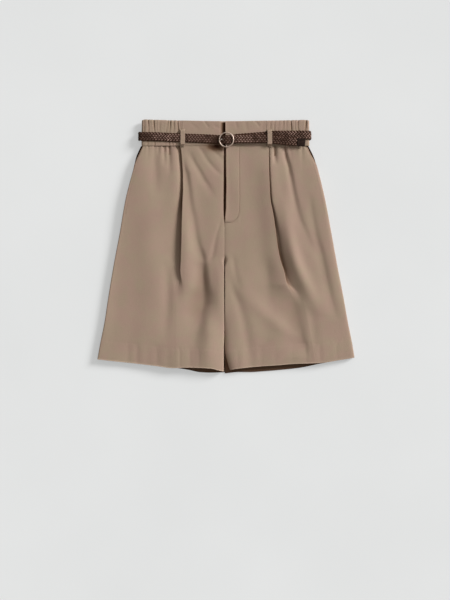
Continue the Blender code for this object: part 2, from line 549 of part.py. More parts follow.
def strap_path():
    """The belt's middle line: from the buckle round the left side, the back, the right side, to the tail."""
    ahead = np.arange(BUCKLE_STRAP["x"][0], STRAP_TURN[LEFT], BRAID_PITCH / 2)
    out_y = through(BUCKLE_STRAP, "x", "y", ahead)
    middle, radius = (FRONT_STRAP_Z + BACK_STRAP_Z) / 2, (FRONT_STRAP_Z - BACK_STRAP_Z) / 2
    turn = np.radians(np.linspace(90, -90, 9))
    left_x, left_z = STRAP_TURN[LEFT] + radius * np.cos(turn), middle + radius * np.sin(turn)
    back_x = np.linspace(STRAP_TURN[LEFT], STRAP_TURN[RIGHT], 10)[1:-1]
    right_x, right_z = STRAP_TURN[RIGHT] - radius * np.cos(turn), middle - radius * np.sin(turn)
    tail_x = np.arange(STRAP_TURN[RIGHT] + 2, TAIL["x"][-1], BRAID_PITCH / 2)
    tail_y, tail_z = through(TAIL, "x", "y", tail_x), through(TAIL, "x", "z", tail_x)
    ease = np.linspace(0, 1, len(turn))
    return np.concatenate([
        np.stack([ahead, out_y, FRONT_STRAP_Z + 0 * ahead], -1),
        np.stack([left_x, out_y[-1] + (BACK_STRAP_Y - out_y[-1]) * ease, left_z], -1),
        np.stack([back_x, BACK_STRAP_Y + 0 * back_x, BACK_STRAP_Z + 0 * back_x], -1),
        np.stack([right_x, BACK_STRAP_Y + (tail_y[0] - BACK_STRAP_Y) * ease, right_z], -1),
        np.stack([tail_x, tail_y, tail_z], -1),
    ])


def strap_frame(path):
    """Directions across the strap's width and out of its face, at each point of its path."""
    way = along(path)
    width = np.array([0, 1.0, 0]) - way[:, 1:2] * way
    width /= np.linalg.norm(width, axis=1, keepdims=True)
    return width, np.cross(way, width)


def braid_rings(path, half_width, half_thick, shown):
    """Sections of a flat braid: slanting strands raised in the shown face, over a plain back."""
    width, out = strap_frame(path)
    across = np.linspace(1, -1, 9)
    strip = np.arange(9)
    crown = (strip % 2 == 1) & ((strip // 2 + np.arange(len(path)).reshape(-1, 1)) % 2 == 0)
    level = np.where(crown, 1.0, np.where(strip % 2 == 1, 0.0, -1.0)) * shown.reshape(-1, 1)
    raised = half_thick - BRAID_RELIEF + BRAID_RELIEF * level
    points = path[:, None] + width[:, None] * across[:, None] * half_width
    face = points + out[:, None] * raised[..., None]
    under = [path + width * half_width * s - out * half_thick for s in (-1, 1)]
    return np.concatenate([face, np.stack(under, 1)], axis=1)


def belt_strap(group, cutters):
    path = strap_path()
    shown = (path[:, 2] > FRONT_STRAP_Z - 0.2).astype(float)
    rings = braid_rings(path, STRAP_WIDTH / 2, STRAP_THICK / 2, shown)
    strap = loft("belt_strap", rings, "braid", group, rounded=False)
    bpy.ops.mesh.primitive_cylinder_add(vertices=12, radius=PRONG["hole"] * MM, depth=12 * MM)
    hole = bpy.context.object
    hole.name = "prong_hole"
    hole.location = (PRONG["hole_x"] * MM, PRONG["y"] * MM, PRONG["hole_z"] * MM)
    hole.rotation_euler = (0, math.radians(PRONG["hole_lean"]), 0)
    hole.hide_render = True
    hole.display_type = "WIRE"
    for holder in list(hole.users_collection):
        holder.objects.unlink(hole)
    cutters.objects.link(hole)
    cut = strap.modifiers.new("prong_hole", "BOOLEAN")
    cut.object = hole
    return strap


def flat_strip(name, path, width, thick, finish, group):
    """A plain strap of even width and thickness along a path."""
    across, out = strap_frame(path)
    corners = [(1, 1), (-1, 1), (-1, -1), (1, -1)]
    rings = [path + across * width / 2 * a + out * thick / 2 * b for a, b in corners]
    return loft(name, np.stack(rings, 1), finish, group)


def belt_tip(group):
    """The smooth leather end of the tail, rounded at its corners."""
    share = np.array([0, 0.3, 0.75, 0.92, 1.0])
    taper = np.array([1.0, 1.0, 0.98, 0.9, 0.66])
    x = TIP["start"] + (TIP["end"] - TIP["start"]) * share
    y = TIP["y"] + TIP["fall"] * (x - TIP["start"])
    corners = [(1, 0.55), (0.85, 1), (-0.85, 1), (-1, 0.55), (-1, -0.55), (-0.85, -1), (0.85, -1), (1, -0.55)]
    half_w, half_t = TIP["width"] / 2, TIP["thick"] / 2
    rings = [np.stack([x, y + a * half_w * taper, TIP["z"] + b * half_t + 0 * x], -1) for a, b in corners]
    return loft("belt_tip", np.stack(rings, 1), "leather", group)


def buckle_tab(group):
    """Leather folded round the buckle's bar and sewn to the start of the strap."""
    centre_z = RING["z"] - BAR["drop"]
    reach = BAR["radius"] + SEAM_GAP + TAB["thick"] / 2
    turn = np.radians([60, 90, 135, 180, 225, 270, 300])
    x = np.concatenate([[TAB["end"], 12, 7], RING["x"] + reach * np.cos(turn), [7, 12, TAB["end"]]])
    z = np.concatenate([
        [TAB["high"], TAB["high"], 16.1], centre_z + reach * np.sin(turn), [14.4, TAB["low"], TAB["low"]],
    ])
    path = np.stack([x, RING["y"] + 0.2 + 0 * x, z], -1)
    return flat_strip("buckle_tab", path, TAB["width"], TAB["thick"], "leather", group)


def buckle_ring(group):
    """The round buckle, cast in one piece with the bar across its middle."""
    bpy.ops.mesh.primitive_torus_add(
        major_radius=RING["radius"] * MM, minor_radius=RING["wire"] * MM, major_segments=36, minor_segments=8,
        location=(RING["x"] * MM, RING["y"] * MM, RING["z"] * MM),
        rotation=(0, math.radians(-RING["tilt"]), 0),
    )
    ring = bpy.context.object
    ring.name = "buckle_ring"
    bpy.ops.mesh.primitive_cylinder_add(
        vertices=10, radius=BAR["radius"] * MM, depth=2 * RING["radius"] * MM,
        location=(RING["x"] * MM, RING["y"] * MM, (RING["z"] - BAR["drop"]) * MM),
        rotation=(math.radians(90), 0, 0),
    )
    bar = bpy.context.object
    join = ring.modifiers.new("bar", "BOOLEAN")
    join.operation = "UNION"
    join.object = bar
    whole = bpy.data.meshes.new_from_object(ring.evaluated_get(bpy.context.evaluated_depsgraph_get()))
    ring.modifiers.clear()
    ring.data = whole
    whole.materials.append(material("metal"))
    whole.shade_smooth()
    bpy.data.objects.remove(bar)
    for holder in list(ring.users_collection):
        holder.objects.unlink(ring)
    group.objects.link(ring)
    return ring


def buckle_prong(group):
    """The prong, up through the braid beside the bar and out over the ring's right rim."""
    curve = bpy.data.curves.new("buckle_prong", "CURVE")
    curve.dimensions = "3D"
    curve.bevel_depth = PRONG["wire"] * MM
    curve.bevel_resolution = 2
    curve.use_fill_caps = True
    line = curve.splines.new("POLY")
    line.points.add(len(PRONG_ROUTE) - 1)
    for point, (x, z) in zip(line.points, PRONG_ROUTE):
        point.co = (x * MM, PRONG["y"] * MM, z * MM, 1)
    curve.materials.append(material("metal"))
    made = bpy.data.objects.new("buckle_prong", curve)
    group.objects.link(made)
    return made


def belt_loop(name, row, group):
    """A narrow strap sewn to the band above and below the belt, and bridging it."""
    top, bottom, foot, bridge = (row[key] for key in ("top", "bottom", "foot", "bridge"))
    half = foot + (bridge - foot) * 0.5
    from_top = top - np.array([0, 1.5, 2.5, 3.4, 9])
    from_bottom = bottom + np.array([9, 4.6, 3.4, 2, 0])
    y = np.concatenate([from_top, from_bottom])
    z = np.array([foot, foot, half, bridge, bridge, bridge, bridge, half, foot, foot])
    way = along(np.stack([0 * y, y, z], -1))
    side = np.array([1.0, 0, 0])
    out = np.cross(side, way)
    path = np.stack([row["x"] + 0 * y, y, z], -1)
    corners = [(1, 1), (-1, 1), (-1, -1), (1, -1)]
    rings = [path + side * LOOP_WIDTH / 2 * a + out * LOOP_THICK / 2 * b for a, b in corners]
    return loft(name, np.stack(rings, 1), "twill", group)


def build():
    for old in list(bpy.data.objects):
        bpy.data.objects.remove(old)
    shorts = new_collection("belted_shorts")
    cutters = new_collection("cutters", shown=False)
    for side in (RIGHT, LEFT):
        front_panel(side, shorts)
        back_panel(side, shorts)
        front_band(side, shorts)
        pocket_facing(side, shorts)
    elastic_band(shorts)
    fly_underlap(shorts)
    belt_strap(shorts, cutters)
    belt_tip(shorts)
    buckle_tab(shorts)
    buckle_ring(shorts)
    buckle_prong(shorts)
    for name, row in zip(LOOP_NAMES, LOOPS):
        belt_loop(name, row, shorts)


build()
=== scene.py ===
# Pleated shorts with a braided belt, laid flat on a pale table and seen from straight above.
# Sizes are in millimetres unless a note says otherwise. +X is the wearer's left, +Y runs up to the waist.
import math

import bpy
import numpy as np
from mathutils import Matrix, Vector


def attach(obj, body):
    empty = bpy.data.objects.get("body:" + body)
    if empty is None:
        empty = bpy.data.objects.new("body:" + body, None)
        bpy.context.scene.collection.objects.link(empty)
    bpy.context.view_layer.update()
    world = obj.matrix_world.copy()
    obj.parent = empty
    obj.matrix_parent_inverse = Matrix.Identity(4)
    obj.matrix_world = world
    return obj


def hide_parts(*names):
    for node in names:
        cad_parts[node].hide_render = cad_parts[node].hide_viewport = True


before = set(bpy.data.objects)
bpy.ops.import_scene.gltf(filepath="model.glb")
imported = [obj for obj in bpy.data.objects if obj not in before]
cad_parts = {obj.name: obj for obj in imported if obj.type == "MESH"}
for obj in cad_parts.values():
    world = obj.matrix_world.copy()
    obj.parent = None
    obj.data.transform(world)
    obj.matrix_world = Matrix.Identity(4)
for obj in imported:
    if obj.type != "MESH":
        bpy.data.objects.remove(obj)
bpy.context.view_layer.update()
print("frame loaded:", len(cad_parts), "nodes")

mm = 0.001
right, left = -1, 1                      # the wearer's sides, as signs of X
sideNames = {right: "right", left: "left"}
xAxis, yAxis = np.array([1, 0, 0]), np.array([0, 1, 0])
rng = np.random.default_rng(7)

# the camera takes in 1.2 m of table from the picture's top to its bottom
view = {"at": (-2, -107, 2410), "lens": 72, "sensor": 36}
cameraData = bpy.data.cameras.new("camera")
cameraData.lens, cameraData.sensor_width = view["lens"], view["sensor"]
camera = bpy.data.objects.new("camera", cameraData)
camera.location = [value * mm for value in view["at"]]
bpy.context.scene.collection.objects.link(camera)
bpy.context.scene.camera = camera
bpy.context.scene.view_settings.view_transform = "Standard"

# light falls in long and soft from the upper right, so that only the lower left edges cast a shadow on the table
lamps = {
    "key": {"from": (0.82, 0.50, 0.47), "spread": 20, "strength": 4.15, "tint": (0.985, 0.98, 0.98)},
    "wide": {"from": (0.65, 0.35, 0.75), "spread": 110, "strength": 0.50, "tint": (1, 0.99, 0.975)},
}
for name, lamp in lamps.items():
    light = bpy.data.lights.new(name, "SUN")
    light.angle = math.radians(lamp["spread"])
    light.energy, light.color = lamp["strength"], lamp["tint"]
    holder = bpy.data.objects.new(name, light)
    holder.location = lamp["from"]
    holder.rotation_euler = Vector(lamp["from"]).to_track_quat("Z", "Y").to_euler()
    bpy.context.scene.collection.objects.link(holder)

roomLight = {"Color": (1, 0.96, 0.89, 1), "Strength": 0.30}
room = bpy.data.worlds.new("room")
room.use_nodes = True
for key, value in roomLight.items():
    room.node_tree.nodes["Background"].inputs[key].default_value = value
bpy.context.scene.world = room


class Wire:
    # one output socket; arithmetic on it adds Math nodes
    def __init__(self, board, socket):
        self.board, self.socket = board, socket

    def __add__(self, other):
        return self.board.sums("ADD", self, other)

    def __mul__(self, other):
        return self.board.sums("MULTIPLY", self, other)

    def __pow__(self, other):
        return self.board.sums("POWER", self, other)

    __radd__, __rmul__ = __add__, __mul__


class Board:
    # one material's node tree
    def __init__(self, name):
        self.material = bpy.data.materials.new(name)
        self.material.use_nodes = True
        self.tree = self.material.node_tree
        self.shader = self.tree.nodes["Principled BSDF"]

    def add(self, kind, values=None, out=0, **settings):
        # a node: its settings first, then its sockets' values or links; gives one output
        node = self.tree.nodes.new(kind)
        for key, value in settings.items():
            setattr(node, key, value)
        for key, value in (values or {}).items():
            self.feed(node.inputs[key], value)
        return Wire(self, node.outputs[out])

    def feed(self, socket, value):
        if isinstance(value, Wire):
            self.tree.links.new(value.socket, socket)
        else:
            socket.default_value = value

    def sums(self, operation, first, second=0):
        return self.add("ShaderNodeMath", {0: first, 1: second}, operation=operation)

    def place(self):
        return self.add("ShaderNodeTexCoord", out=3)          # the object's own coordinates, in metres

    def cloth(self):
        return self.add("ShaderNodeUVMap", uv_map="cloth")

    def wearAndPaintedLight(self):
        # per vertex: wear along folded and leather edges, painted shade where it falls below zero on the cloth, painted
        # highlight on the braid's crowns, and a darker prong with a spot of painted highlight
        return self.add("ShaderNodeAttribute", attribute_name="wearAndPaintedLight", out=2)

    def split(self, at):
        # the first two coordinates apart
        parts = self.tree.nodes.new("ShaderNodeSeparateXYZ")
        self.feed(parts.inputs[0], at)
        return Wire(self, parts.outputs[0]), Wire(self, parts.outputs[1])

    def stretched(self, at, scale):
        return self.add("ShaderNodeMapping", {"Vector": at, "Scale": scale})

    def noise(self, at, size, detail=2):
        # fine lumps about this many metres across, around 0.5
        return self.add("ShaderNodeTexNoise", {"Vector": at, "Scale": 1 / size, "Detail": detail})

    def sine(self, value, pitch):
        return self.sums("SINE", value * (2 * math.pi / pitch))

    def between(self, value, low, high):
        # the value's range low to high stretched to 0 to 1
        return self.add("ShaderNodeMapRange", {"Value": value, "From Min": low, "From Max": high})

    def mix(self, share, *colours):
        # the first colour at 0, the second at 1
        first, second = (colour if isinstance(colour, Wire) else (*colour, 1) for colour in colours)
        return self.add("ShaderNodeMix", {0: share, 6: first, 7: second}, out=2, data_type="RGBA")

    def blend(self, value, low, high, *colours):
        # the first colour where the value is low, the second where it is high
        return self.mix(self.between(value, low, high), *colours)

    def bump(self, height, strength, distance):
        return self.add("ShaderNodeBump", {"Height": height, "Strength": strength, "Distance": distance})

    def finish(self, **sockets):
        for key, value in sockets.items():
            self.feed(self.shader.inputs[key.replace("_", " ")], value)
        return self.material


def scaled(colour, share):
    return [part * share for part in colour]


def makeTwill():
    # warp and weft yarns with the twill's diagonal, in metres along the cloth's own UV; slubs and soft mottling
    look = {
        "yarn": 0.00048, "diagonal": 0.0011, "slub": 0.0016, "grain": 0.0022, "mottle": 0.055, "blotch": 0.028,
        "pinker": (0.343, 0.243, 0.191), "yellower": (0.327, 0.250, 0.185), "lifts": (0.945, 1.085),
        "pressed": (0.43, 0.33, 0.25), "paintedFoldShade": (0.160, 0.096, 0.061), "paintedSlotShade": (0.024, 0.007, 0.003),
    }
    board = Board("twill")
    at, place, wearAndPaintedLight = board.cloth(), board.place(), board.wearAndPaintedLight()
    across, down = board.split(at)
    yarns = board.sine(across, look["yarn"]) * board.sine(down, look["yarn"])
    weave = board.sine(across + down, look["diagonal"]) * 0.5 + yarns * 0.35
    slubs = board.noise(board.stretched(at, (1, 0.12, 1)), look["slub"], 3)
    mottle, grain = board.noise(place, look["mottle"], 3), board.noise(at, look["grain"], 2)
    darker, lighter = (board.blend(board.noise(place, look["blotch"], 3), 0.38, 0.62, scaled(look["pinker"], lift),
                                   scaled(look["yellower"], lift)) for lift in look["lifts"])
    cloth = board.blend(mottle * 0.45 + slubs * 0.25 + grain * 0.3 + weave * 0.02, 0.3, 0.7, darker, lighter)
    cloth = board.blend(wearAndPaintedLight, 0, 2.8, cloth, look["pressed"])
    # painted shade: below zero the cloth turns mid brown, as in the folds' troughs, and then near black, as in slots
    # and gaps
    cloth = board.blend(wearAndPaintedLight, 0, -0.5, cloth, look["paintedFoldShade"])
    cloth = board.blend(wearAndPaintedLight, -0.4, -0.95, cloth, look["paintedSlotShade"])
    relief = board.bump(weave * 0.5 + slubs * 0.9 + grain * 0.6, 0.35, 0.0002)
    return board.finish(Base_Color=cloth, Roughness=0.86 + 0.08 * grain, Normal=relief, Specular_IOR_Level=0.05)


def makeThread():
    # sewing thread a shade darker than the cloth, twisted along its length
    look = {"darker": (0.235, 0.17, 0.125), "lighter": (0.31, 0.23, 0.17), "turns": 9000}
    board = Board("thread")
    run, girth = board.split(board.cloth())
    twist = board.sums("SINE", run * look["turns"] + girth * 6.28)
    tone = board.blend(twist, -1, 1, look["darker"], look["lighter"])
    return board.finish(Base_Color=tone, Roughness=0.7, Normal=board.bump(twist, 0.3, 0.0001))


def makeStrandLeather():
    # waxed strands: brown, with a fine grain, and a painted highlight on their crowns that leaves the sides darker
    look = {"darker": (0.036, 0.0165, 0.0095), "lighter": (0.054, 0.026, 0.016), "crown": (0.47, 0.30, 0.25)}
    board = Board("braidLeather")
    patches, grain = board.noise(board.place(), 0.012, 2), board.noise(board.cloth(), 0.0007, 3)
    tone = board.blend(patches, 0.35, 0.65, look["darker"], look["lighter"])
    # painted highlight: the crowns' value, sharpened, mixes the tone towards pale brown, more strongly in patches
    glint = board.wearAndPaintedLight() ** 7 * (0.3 + 0.6 * board.between(patches, 0.42, 0.58))
    tone = board.mix(glint, tone, look["crown"])
    relief = board.bump(grain, 0.4, 0.00012)
    return board.finish(Base_Color=tone, Roughness=0.52 + grain * 0.15, Normal=relief, Specular_IOR_Level=0.08)


def makeSmoothLeather():
    # near-black brown leather with pores and darker, waxed edges
    look = {"darker": (0.013, 0.007, 0.005), "lighter": (0.028, 0.016, 0.012), "edge": (0.012, 0.007, 0.006)}
    board = Board("smoothLeather")
    place = board.place()
    pores = board.add("ShaderNodeTexVoronoi", {"Vector": place, "Scale": 1500})
    cloud = board.noise(place, 0.004, 3)
    tone = board.blend(cloud, 0.3, 0.7, look["darker"], look["lighter"])
    tone = board.mix(board.wearAndPaintedLight() * 0.6, tone, look["edge"])
    relief = board.bump(pores, 0.25, 0.00015)
    return board.finish(Base_Color=tone, Roughness=0.5 + cloud * 0.2, Normal=relief, Specular_IOR_Level=0.08)


def makeRingMetal():
    # pale antique gold with fine scratches; darker where the value says, which is along the prong, with a spot of
    # painted highlight there
    look = {
        "darker": (0.50, 0.39, 0.33), "lighter": (0.72, 0.59, 0.50), "darkened": (0.035, 0.020, 0.013),
        "paintedHighlight": (1, 0.96, 0.91),
    }
    board = Board("ringMetal")
    place, darkenedAndHighlight = board.place(), board.wearAndPaintedLight()
    scratches = board.noise(board.stretched(place, (1, 0.15, 1)), 0.0005, 2)
    tone = board.blend(board.noise(place, 0.003, 3), 0.35, 0.65, look["darker"], look["lighter"])
    tone = board.mix(darkenedAndHighlight, tone, look["darkened"])
    # painted highlight: where the value falls below zero the tone goes to near white
    tone = board.blend(darkenedAndHighlight, 0, -1, tone, look["paintedHighlight"])
    relief = board.bump(scratches, 0.12, 0.0001)
    return board.finish(Base_Color=tone, Metallic=1, Roughness=0.46 + scratches * 0.16, Normal=relief)


def makeTable():
    # matt board lit from below as well, as a light table is, so that shadows on it stay pale
    look = {"darker": (0.76, 0.775, 0.78), "lighter": (0.795, 0.81, 0.815), "share": 0.487}
    board = Board("tabletop")
    place = board.place()
    colours = [scaled(look[key], look["share"]) for key in ("darker", "lighter")]
    tone = board.blend(board.noise(place, 0.35, 3), 0.25, 0.75, *colours)
    relief = board.bump(board.noise(place, 0.004, 2), 0.05, 0.0003)
    return board.finish(Base_Color=tone, Emission_Color=tone, Emission_Strength=1, Roughness=0.9, Normal=relief)


twill, thread = makeTwill(), makeThread()
braidLeather, smoothLeather, ringMetal = makeStrandLeather(), makeSmoothLeather(), makeRingMetal()
print("materials made")

reach, top = 5, -0.0004                  # the table's half width and its face just below the cloth, in metres
floorMesh = bpy.data.meshes.new("tabletop")
corners = [(-reach, -reach, top), (reach, -reach, top), (reach, reach, top), (-reach, reach, top)]
floorMesh.from_pydata(corners, [], [(0, 1, 2, 3)])
floorMesh.materials.append(makeTable())
floor = bpy.data.objects.new("tabletop", floorMesh)
bpy.context.scene.collection.objects.link(floor)


def table(columns, *rows):
    return np.array(list(rows), dtype=[(name, float) for name in columns.split()])


def ease(value, start, end):
    # 0 at start, 1 at end, and 3 s^2 - 2 s^3 between them
    s = np.clip((np.asarray(value, float) - start) / (end - start), 0, 1)
    return s * s * (3 - 2 * s)


def bell(away, width):
    # 1 in the middle, falling off as exp(-(away / width)^2)
    return np.exp(-((np.asarray(away, float) / width) ** 2))


def through(rows, name, at, key=None):
    # cubic pieces through a table's points, over its first column unless another is the key; their slopes are the
    # neighbours' harmonic mean, so never past the values
    key = key or rows.dtype.names[0]
    order = np.argsort(rows[key])
    x, y = rows[key][order], rows[name][order]
    at = np.clip(at, x[0], x[-1])
    step = np.diff(y) / np.diff(x)
    both = step[:-1] * step[1:]
    middle = np.where(both > 0, 2 * both / np.where(both > 0, step[:-1] + step[1:], 1), 0)
    slope = np.concatenate([step[:1], middle, step[-1:]])
    i = np.clip(np.searchsorted(x, at, side="right") - 1, 0, len(x) - 2)
    h = x[i + 1] - x[i]
    u = (at - x[i]) / h
    first = y[i] * (1 + 2 * u) * (1 - u) ** 2 + slope[i] * h * u * (1 - u) ** 2
    return first + y[i + 1] * u * u * (3 - 2 * u) + slope[i + 1] * h * u * u * (u - 1)


def grid(*parts):
    # X, Y and Z, or U and V, of every point of a grid
    return np.stack(np.broadcast_arrays(*parts), -1)


def unit(vectors):
    return vectors / np.maximum(np.linalg.norm(vectors, axis=-1, keepdims=True), 1e-9)


def along(path):
    return unit(np.gradient(path, axis=0))


def lengths(points, axis=0):
    # distance run along one axis of a grid of points
    steps = np.linalg.norm(np.diff(points, axis=axis), axis=-1)
    zero = np.zeros_like(np.take(steps, [0], axis=axis))
    return np.concatenate([zero, np.cumsum(steps, axis=axis)], axis=axis)


def awayFrom(path, x, y):
    # distance from each point to a bent line in the plane
    best = np.full(np.broadcast(x, y).shape, 1e9)
    for (ax, ay), (bx, by) in zip(path[:-1], path[1:]):
        dx, dy = bx - ax, by - ay
        t = np.clip(((x - ax) * dx + (y - ay) * dy) / (dx * dx + dy * dy), 0, 1)
        best = np.minimum(best, np.hypot(x - ax - t * dx, y - ay - t * dy))
    return best


def mark(row, x, y):
    # a table row's straight line: its depth on the line, falling off over its width
    path = ((row["x"], row["y"]), (row["toX"], row["toY"]))
    return row["depth"] * bell(awayFrom(path, x, y), row["width"])


def addPiece(name, node, points, quads, caps, uv, wearAndPaintedLight, material):
    # a mesh at the origin, turned to face outwards by the sign of its volume; it stands for the CAD node, if any
    a, b, c, d = (points[quads[:, k]] for k in range(4))
    faces = quads.tolist() + caps
    if (np.cross(a, b) * c).sum() + (np.cross(a, c) * d).sum() < 0:
        faces = [face[::-1] for face in faces]
    mesh = bpy.data.meshes.new(name)
    mesh.from_pydata((points * mm).tolist(), [], faces)
    corner = np.zeros(len(mesh.loops), np.int32)
    mesh.loops.foreach_get("vertex_index", corner)
    mesh.uv_layers.new(name="cloth").data.foreach_set("uv", (uv[corner] * mm).astype(np.float32).ravel())
    mesh.attributes.new("wearAndPaintedLight", "FLOAT", "POINT").data.foreach_set("value", wearAndPaintedLight.astype(np.float32))
    mesh.shade_smooth()
    mesh.materials.append(material)
    piece = bpy.data.objects.new(name, mesh)
    bpy.context.scene.collection.objects.link(piece)
    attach(piece, "root")
    if node:
        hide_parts(node)
    return piece


def addWall(name, node, outer, inner, wearAndPaintedLight, bulge=0.35, inside=False):
    # cloth between two grids of points, its rim rounded outwards by bulge; the wear and painted shade values mark its
    # outside or its inside
    rows, columns = outer.shape[:2]
    count = rows * columns
    index = np.arange(count).reshape(rows, columns)
    quads = np.stack([index[:-1, :-1], index[1:, :-1], index[1:, 1:], index[:-1, 1:]], -1).reshape(-1, 4)
    border = np.concatenate([index[0], index[1:, -1], index[-1, -2::-1], index[-2:0:-1, 0]])
    inward = np.concatenate([index[1], index[1:, -2], index[-2, -2::-1], index[-2:0:-1, 1]])
    o, i = outer.reshape(-1, 3), inner.reshape(-1, 3)
    rim = (o[border] + i[border]) / 2 + unit(o[border] - o[inward]) * bulge
    ring = np.arange(len(border)) + 2 * count
    after, ringAfter = np.roll(border, -1), np.roll(ring, -1)
    quads = np.concatenate([
        quads, quads[:, ::-1] + count, np.stack([border, ring, ringAfter, after], -1),
        np.stack([ring, border + count, after + count, ringAfter], -1),
    ])
    uv = grid(lengths(outer, 0), lengths(outer, 1)).reshape(-1, 2)
    wearAndPaintedLight = wearAndPaintedLight.reshape(-1)
    wearAndPaintedLight = np.concatenate([wearAndPaintedLight * (not inside), wearAndPaintedLight * inside, wearAndPaintedLight[border] * 0.5])
    points, uv = np.concatenate([o, i, rim]), np.concatenate([uv, uv, uv[border]])
    return addPiece(name, node, points, quads, [], uv, wearAndPaintedLight, twill)


def addTubes(name, node, rings, material, wearAndPaintedLight=0, uv=None, closed=False):
    # a skin over each tube's rings of points, capped at both ends or joined end to start
    index = np.arange(rings[..., 0].size).reshape(rings.shape[:3])
    start, end = (index, np.roll(index, -1, 1)) if closed else (index[:, :-1], index[:, 1:])
    quads = np.stack([start, np.roll(start, -1, 2), np.roll(end, -1, 2), end], -1).reshape(-1, 4)
    caps = [] if closed else index[:, 0, ::-1].tolist() + index[:, -1].tolist()
    uv = [np.broadcast_to(part, index.shape) for part in uv or (lengths(rings, 1), lengths(rings, 2))]
    wearAndPaintedLight = np.broadcast_to(wearAndPaintedLight, index.shape).reshape(-1)
    return addPiece(name, node, rings.reshape(-1, 3), quads, caps, grid(*uv).reshape(-1, 2), wearAndPaintedLight, material)


shorts = {
    "cloth": 1.1, "gap": 0.3, "centre": -2.5, "seam": 201.2, "crotch": -27, "bandFace": 13.2, "hem": 38,
    "backLift": 4.6, "liftEnd": 132, "pocketEnd": 60,
}
waistTop = table("x y", (-169, 254.1), (-86, 251.6), (0, 250.4), (86, 251.4), (169, 253.2))
outline = table(
    "y right left",
    (202, 167.5, 167.5), (178, 178, 179), (155, 183, 186.5), (126, 191, 194), (93, 199, 201.5),
    (27, 210.5, 214), (-39, 223, 226), (-103, 233.7, 238.5), (-151, 241, 247), (-196, 250, 256),
    (-226, 255.4, 260.9),
)
innerEdge = table(
    "y right left",
    (202, 1.3, 2), (183, 1.4, 2.1), (153, 1.6, 2.3), (123, 1.8, 2.8), (93, 2.1, 2.3), (77, 2.1, 2.2),
    (65, 1.8, 1.1), (48, 0.4, 0.4), (36, 0.3, 0.3), (-20, 0.3, 0.3), (-46, 1.1, -0.5), (-70, 1, -0.6),
    (-130, 0.7, -0.6), (-170, 0.75, -0.5), (-205, 1.8, 0), (-230, 1.9, 5), (-250, 1.8, 11),
)
# the hems' Y by the distance out from the centre
frontHem = table(
    "out right left",
    (0, -250.5, -250), (12, -247.6, -246.5), (28, -243.6, -244), (73, -241.8, -239.6),
    (103, -242.8, -237.6), (140, -238.4, -234.6), (190, -232.6, -232.8), (230, -228.4, -227),
    (262, -224.6, -221.6),
)
backHem = table(
    "out right left",
    (0, -251.6, -254), (28, -252.6, -251.2), (50, -251.6, -251.4), (73, -247, -250),
    (103, -242.4, -247.6), (147, -237.6, -243), (190, -231.4, -234.4), (262, -223.4, -221),
)
# how high the front lies along its inner edge and its side
level = table(
    "y centre outer",
    (202, 12, 11.2), (182, 12.3, 12.4), (150, 12.8, 13.8), (100, 13.2, 14), (50, 13.3, 13.2), (0, 13.2, 12.2),
    (-50, 12.9, 11.4), (-110, 12.4, 11.2), (-180, 12, 11), (-254, 11.6, 10.8),
)

# the knife pleats: how far out the fold lies, and how much lower the cloth beside it
pleat = table(
    "y right rightRise left leftRise",
    (202, 88.5, 3.4, 86.5, 2.4), (189, 86.2, 3.8, 86.8, 2.4), (163, 84.2, 4.2, 87, 3), (143, 83.2, 4.4, 87.6, 3.8),
    (113, 82.9, 5.6, 89, 4.8), (93, 83.8, 7, 90.2, 5.6), (73, 84.4, 8.4, 94, 6.4), (53, 84.9, 9.2, 97.4, 7.2),
    (23, 85.6, 9.8, 101.6, 8.4), (-5, 86.3, 10, 105.6, 9.2), (-28, 87, 9.2, 110.4, 9.6),
    (-47, 88.2, 7.2, 116.6, 9), (-73, 88.6, 3.4, 124.8, 6.6), (-92, 88.6, 1.2, 138, 3.2),
    (-120, 88, 0, 150, 0.6), (-190, 88, 0, 165, 0), (-254, 88, 0, 175, 0),
)
pleatDepth = table("y depth", (202, 22), (100, 14), (0, 5), (-40, 2), (-254, 2))
# over how many millimetres the cloth falls towards the fold, and how far out from it the low layer starts
pleatDip = table(
    "y right left rightLead leftLead",
    (202, 3.5, 1, 6, 2), (160, 3.5, 1, 6, 2), (133, 4, 1, 6, 2), (93, 7, 1.2, 6, 2.4),
    (53, 17, 2.6, 6, 3.6), (13, 21, 5.6, 6, 6), (-28, 20, 8, 6, 6), (-60, 18, 10, 6, 6),
    (-100, 18, 13, 6, 6),
)
# the Y between which each pleat lies open, the turns' radius, and the high layer's own crest below the waistband
pleatShape = {
    "opens": {right: (-44, -90), left: (-50, -98)}, "spread": 9, "edge": 0.8, "step": 6,
    "crest": 0.42, "crestFrom": (186, 150), "crestWidth": {right: 17, left: 23},
}
# painted shade in the pleat's slot where the sheets lie close: how dark, and over how far out
pleatSlot = {
    right: table("y dark wide", (202, 0.8, 3), (133, 0.95, 3.6), (93, 0.95, 5), (53, 0.4, 9), (0, 0.25, 11),
                 (-40, 0.12, 9), (-70, 0, 8)),
    left: table("y dark wide", (202, 0.1, 2), (172, 0.3, 2), (155, 0.9, 2), (93, 1, 2.2), (40, 0.85, 3),
                (0, 0.95, 5), (-40, 0.75, 9), (-66, 0.5, 10), (-84, 0.2, 10), (-98, 0, 10)),
}

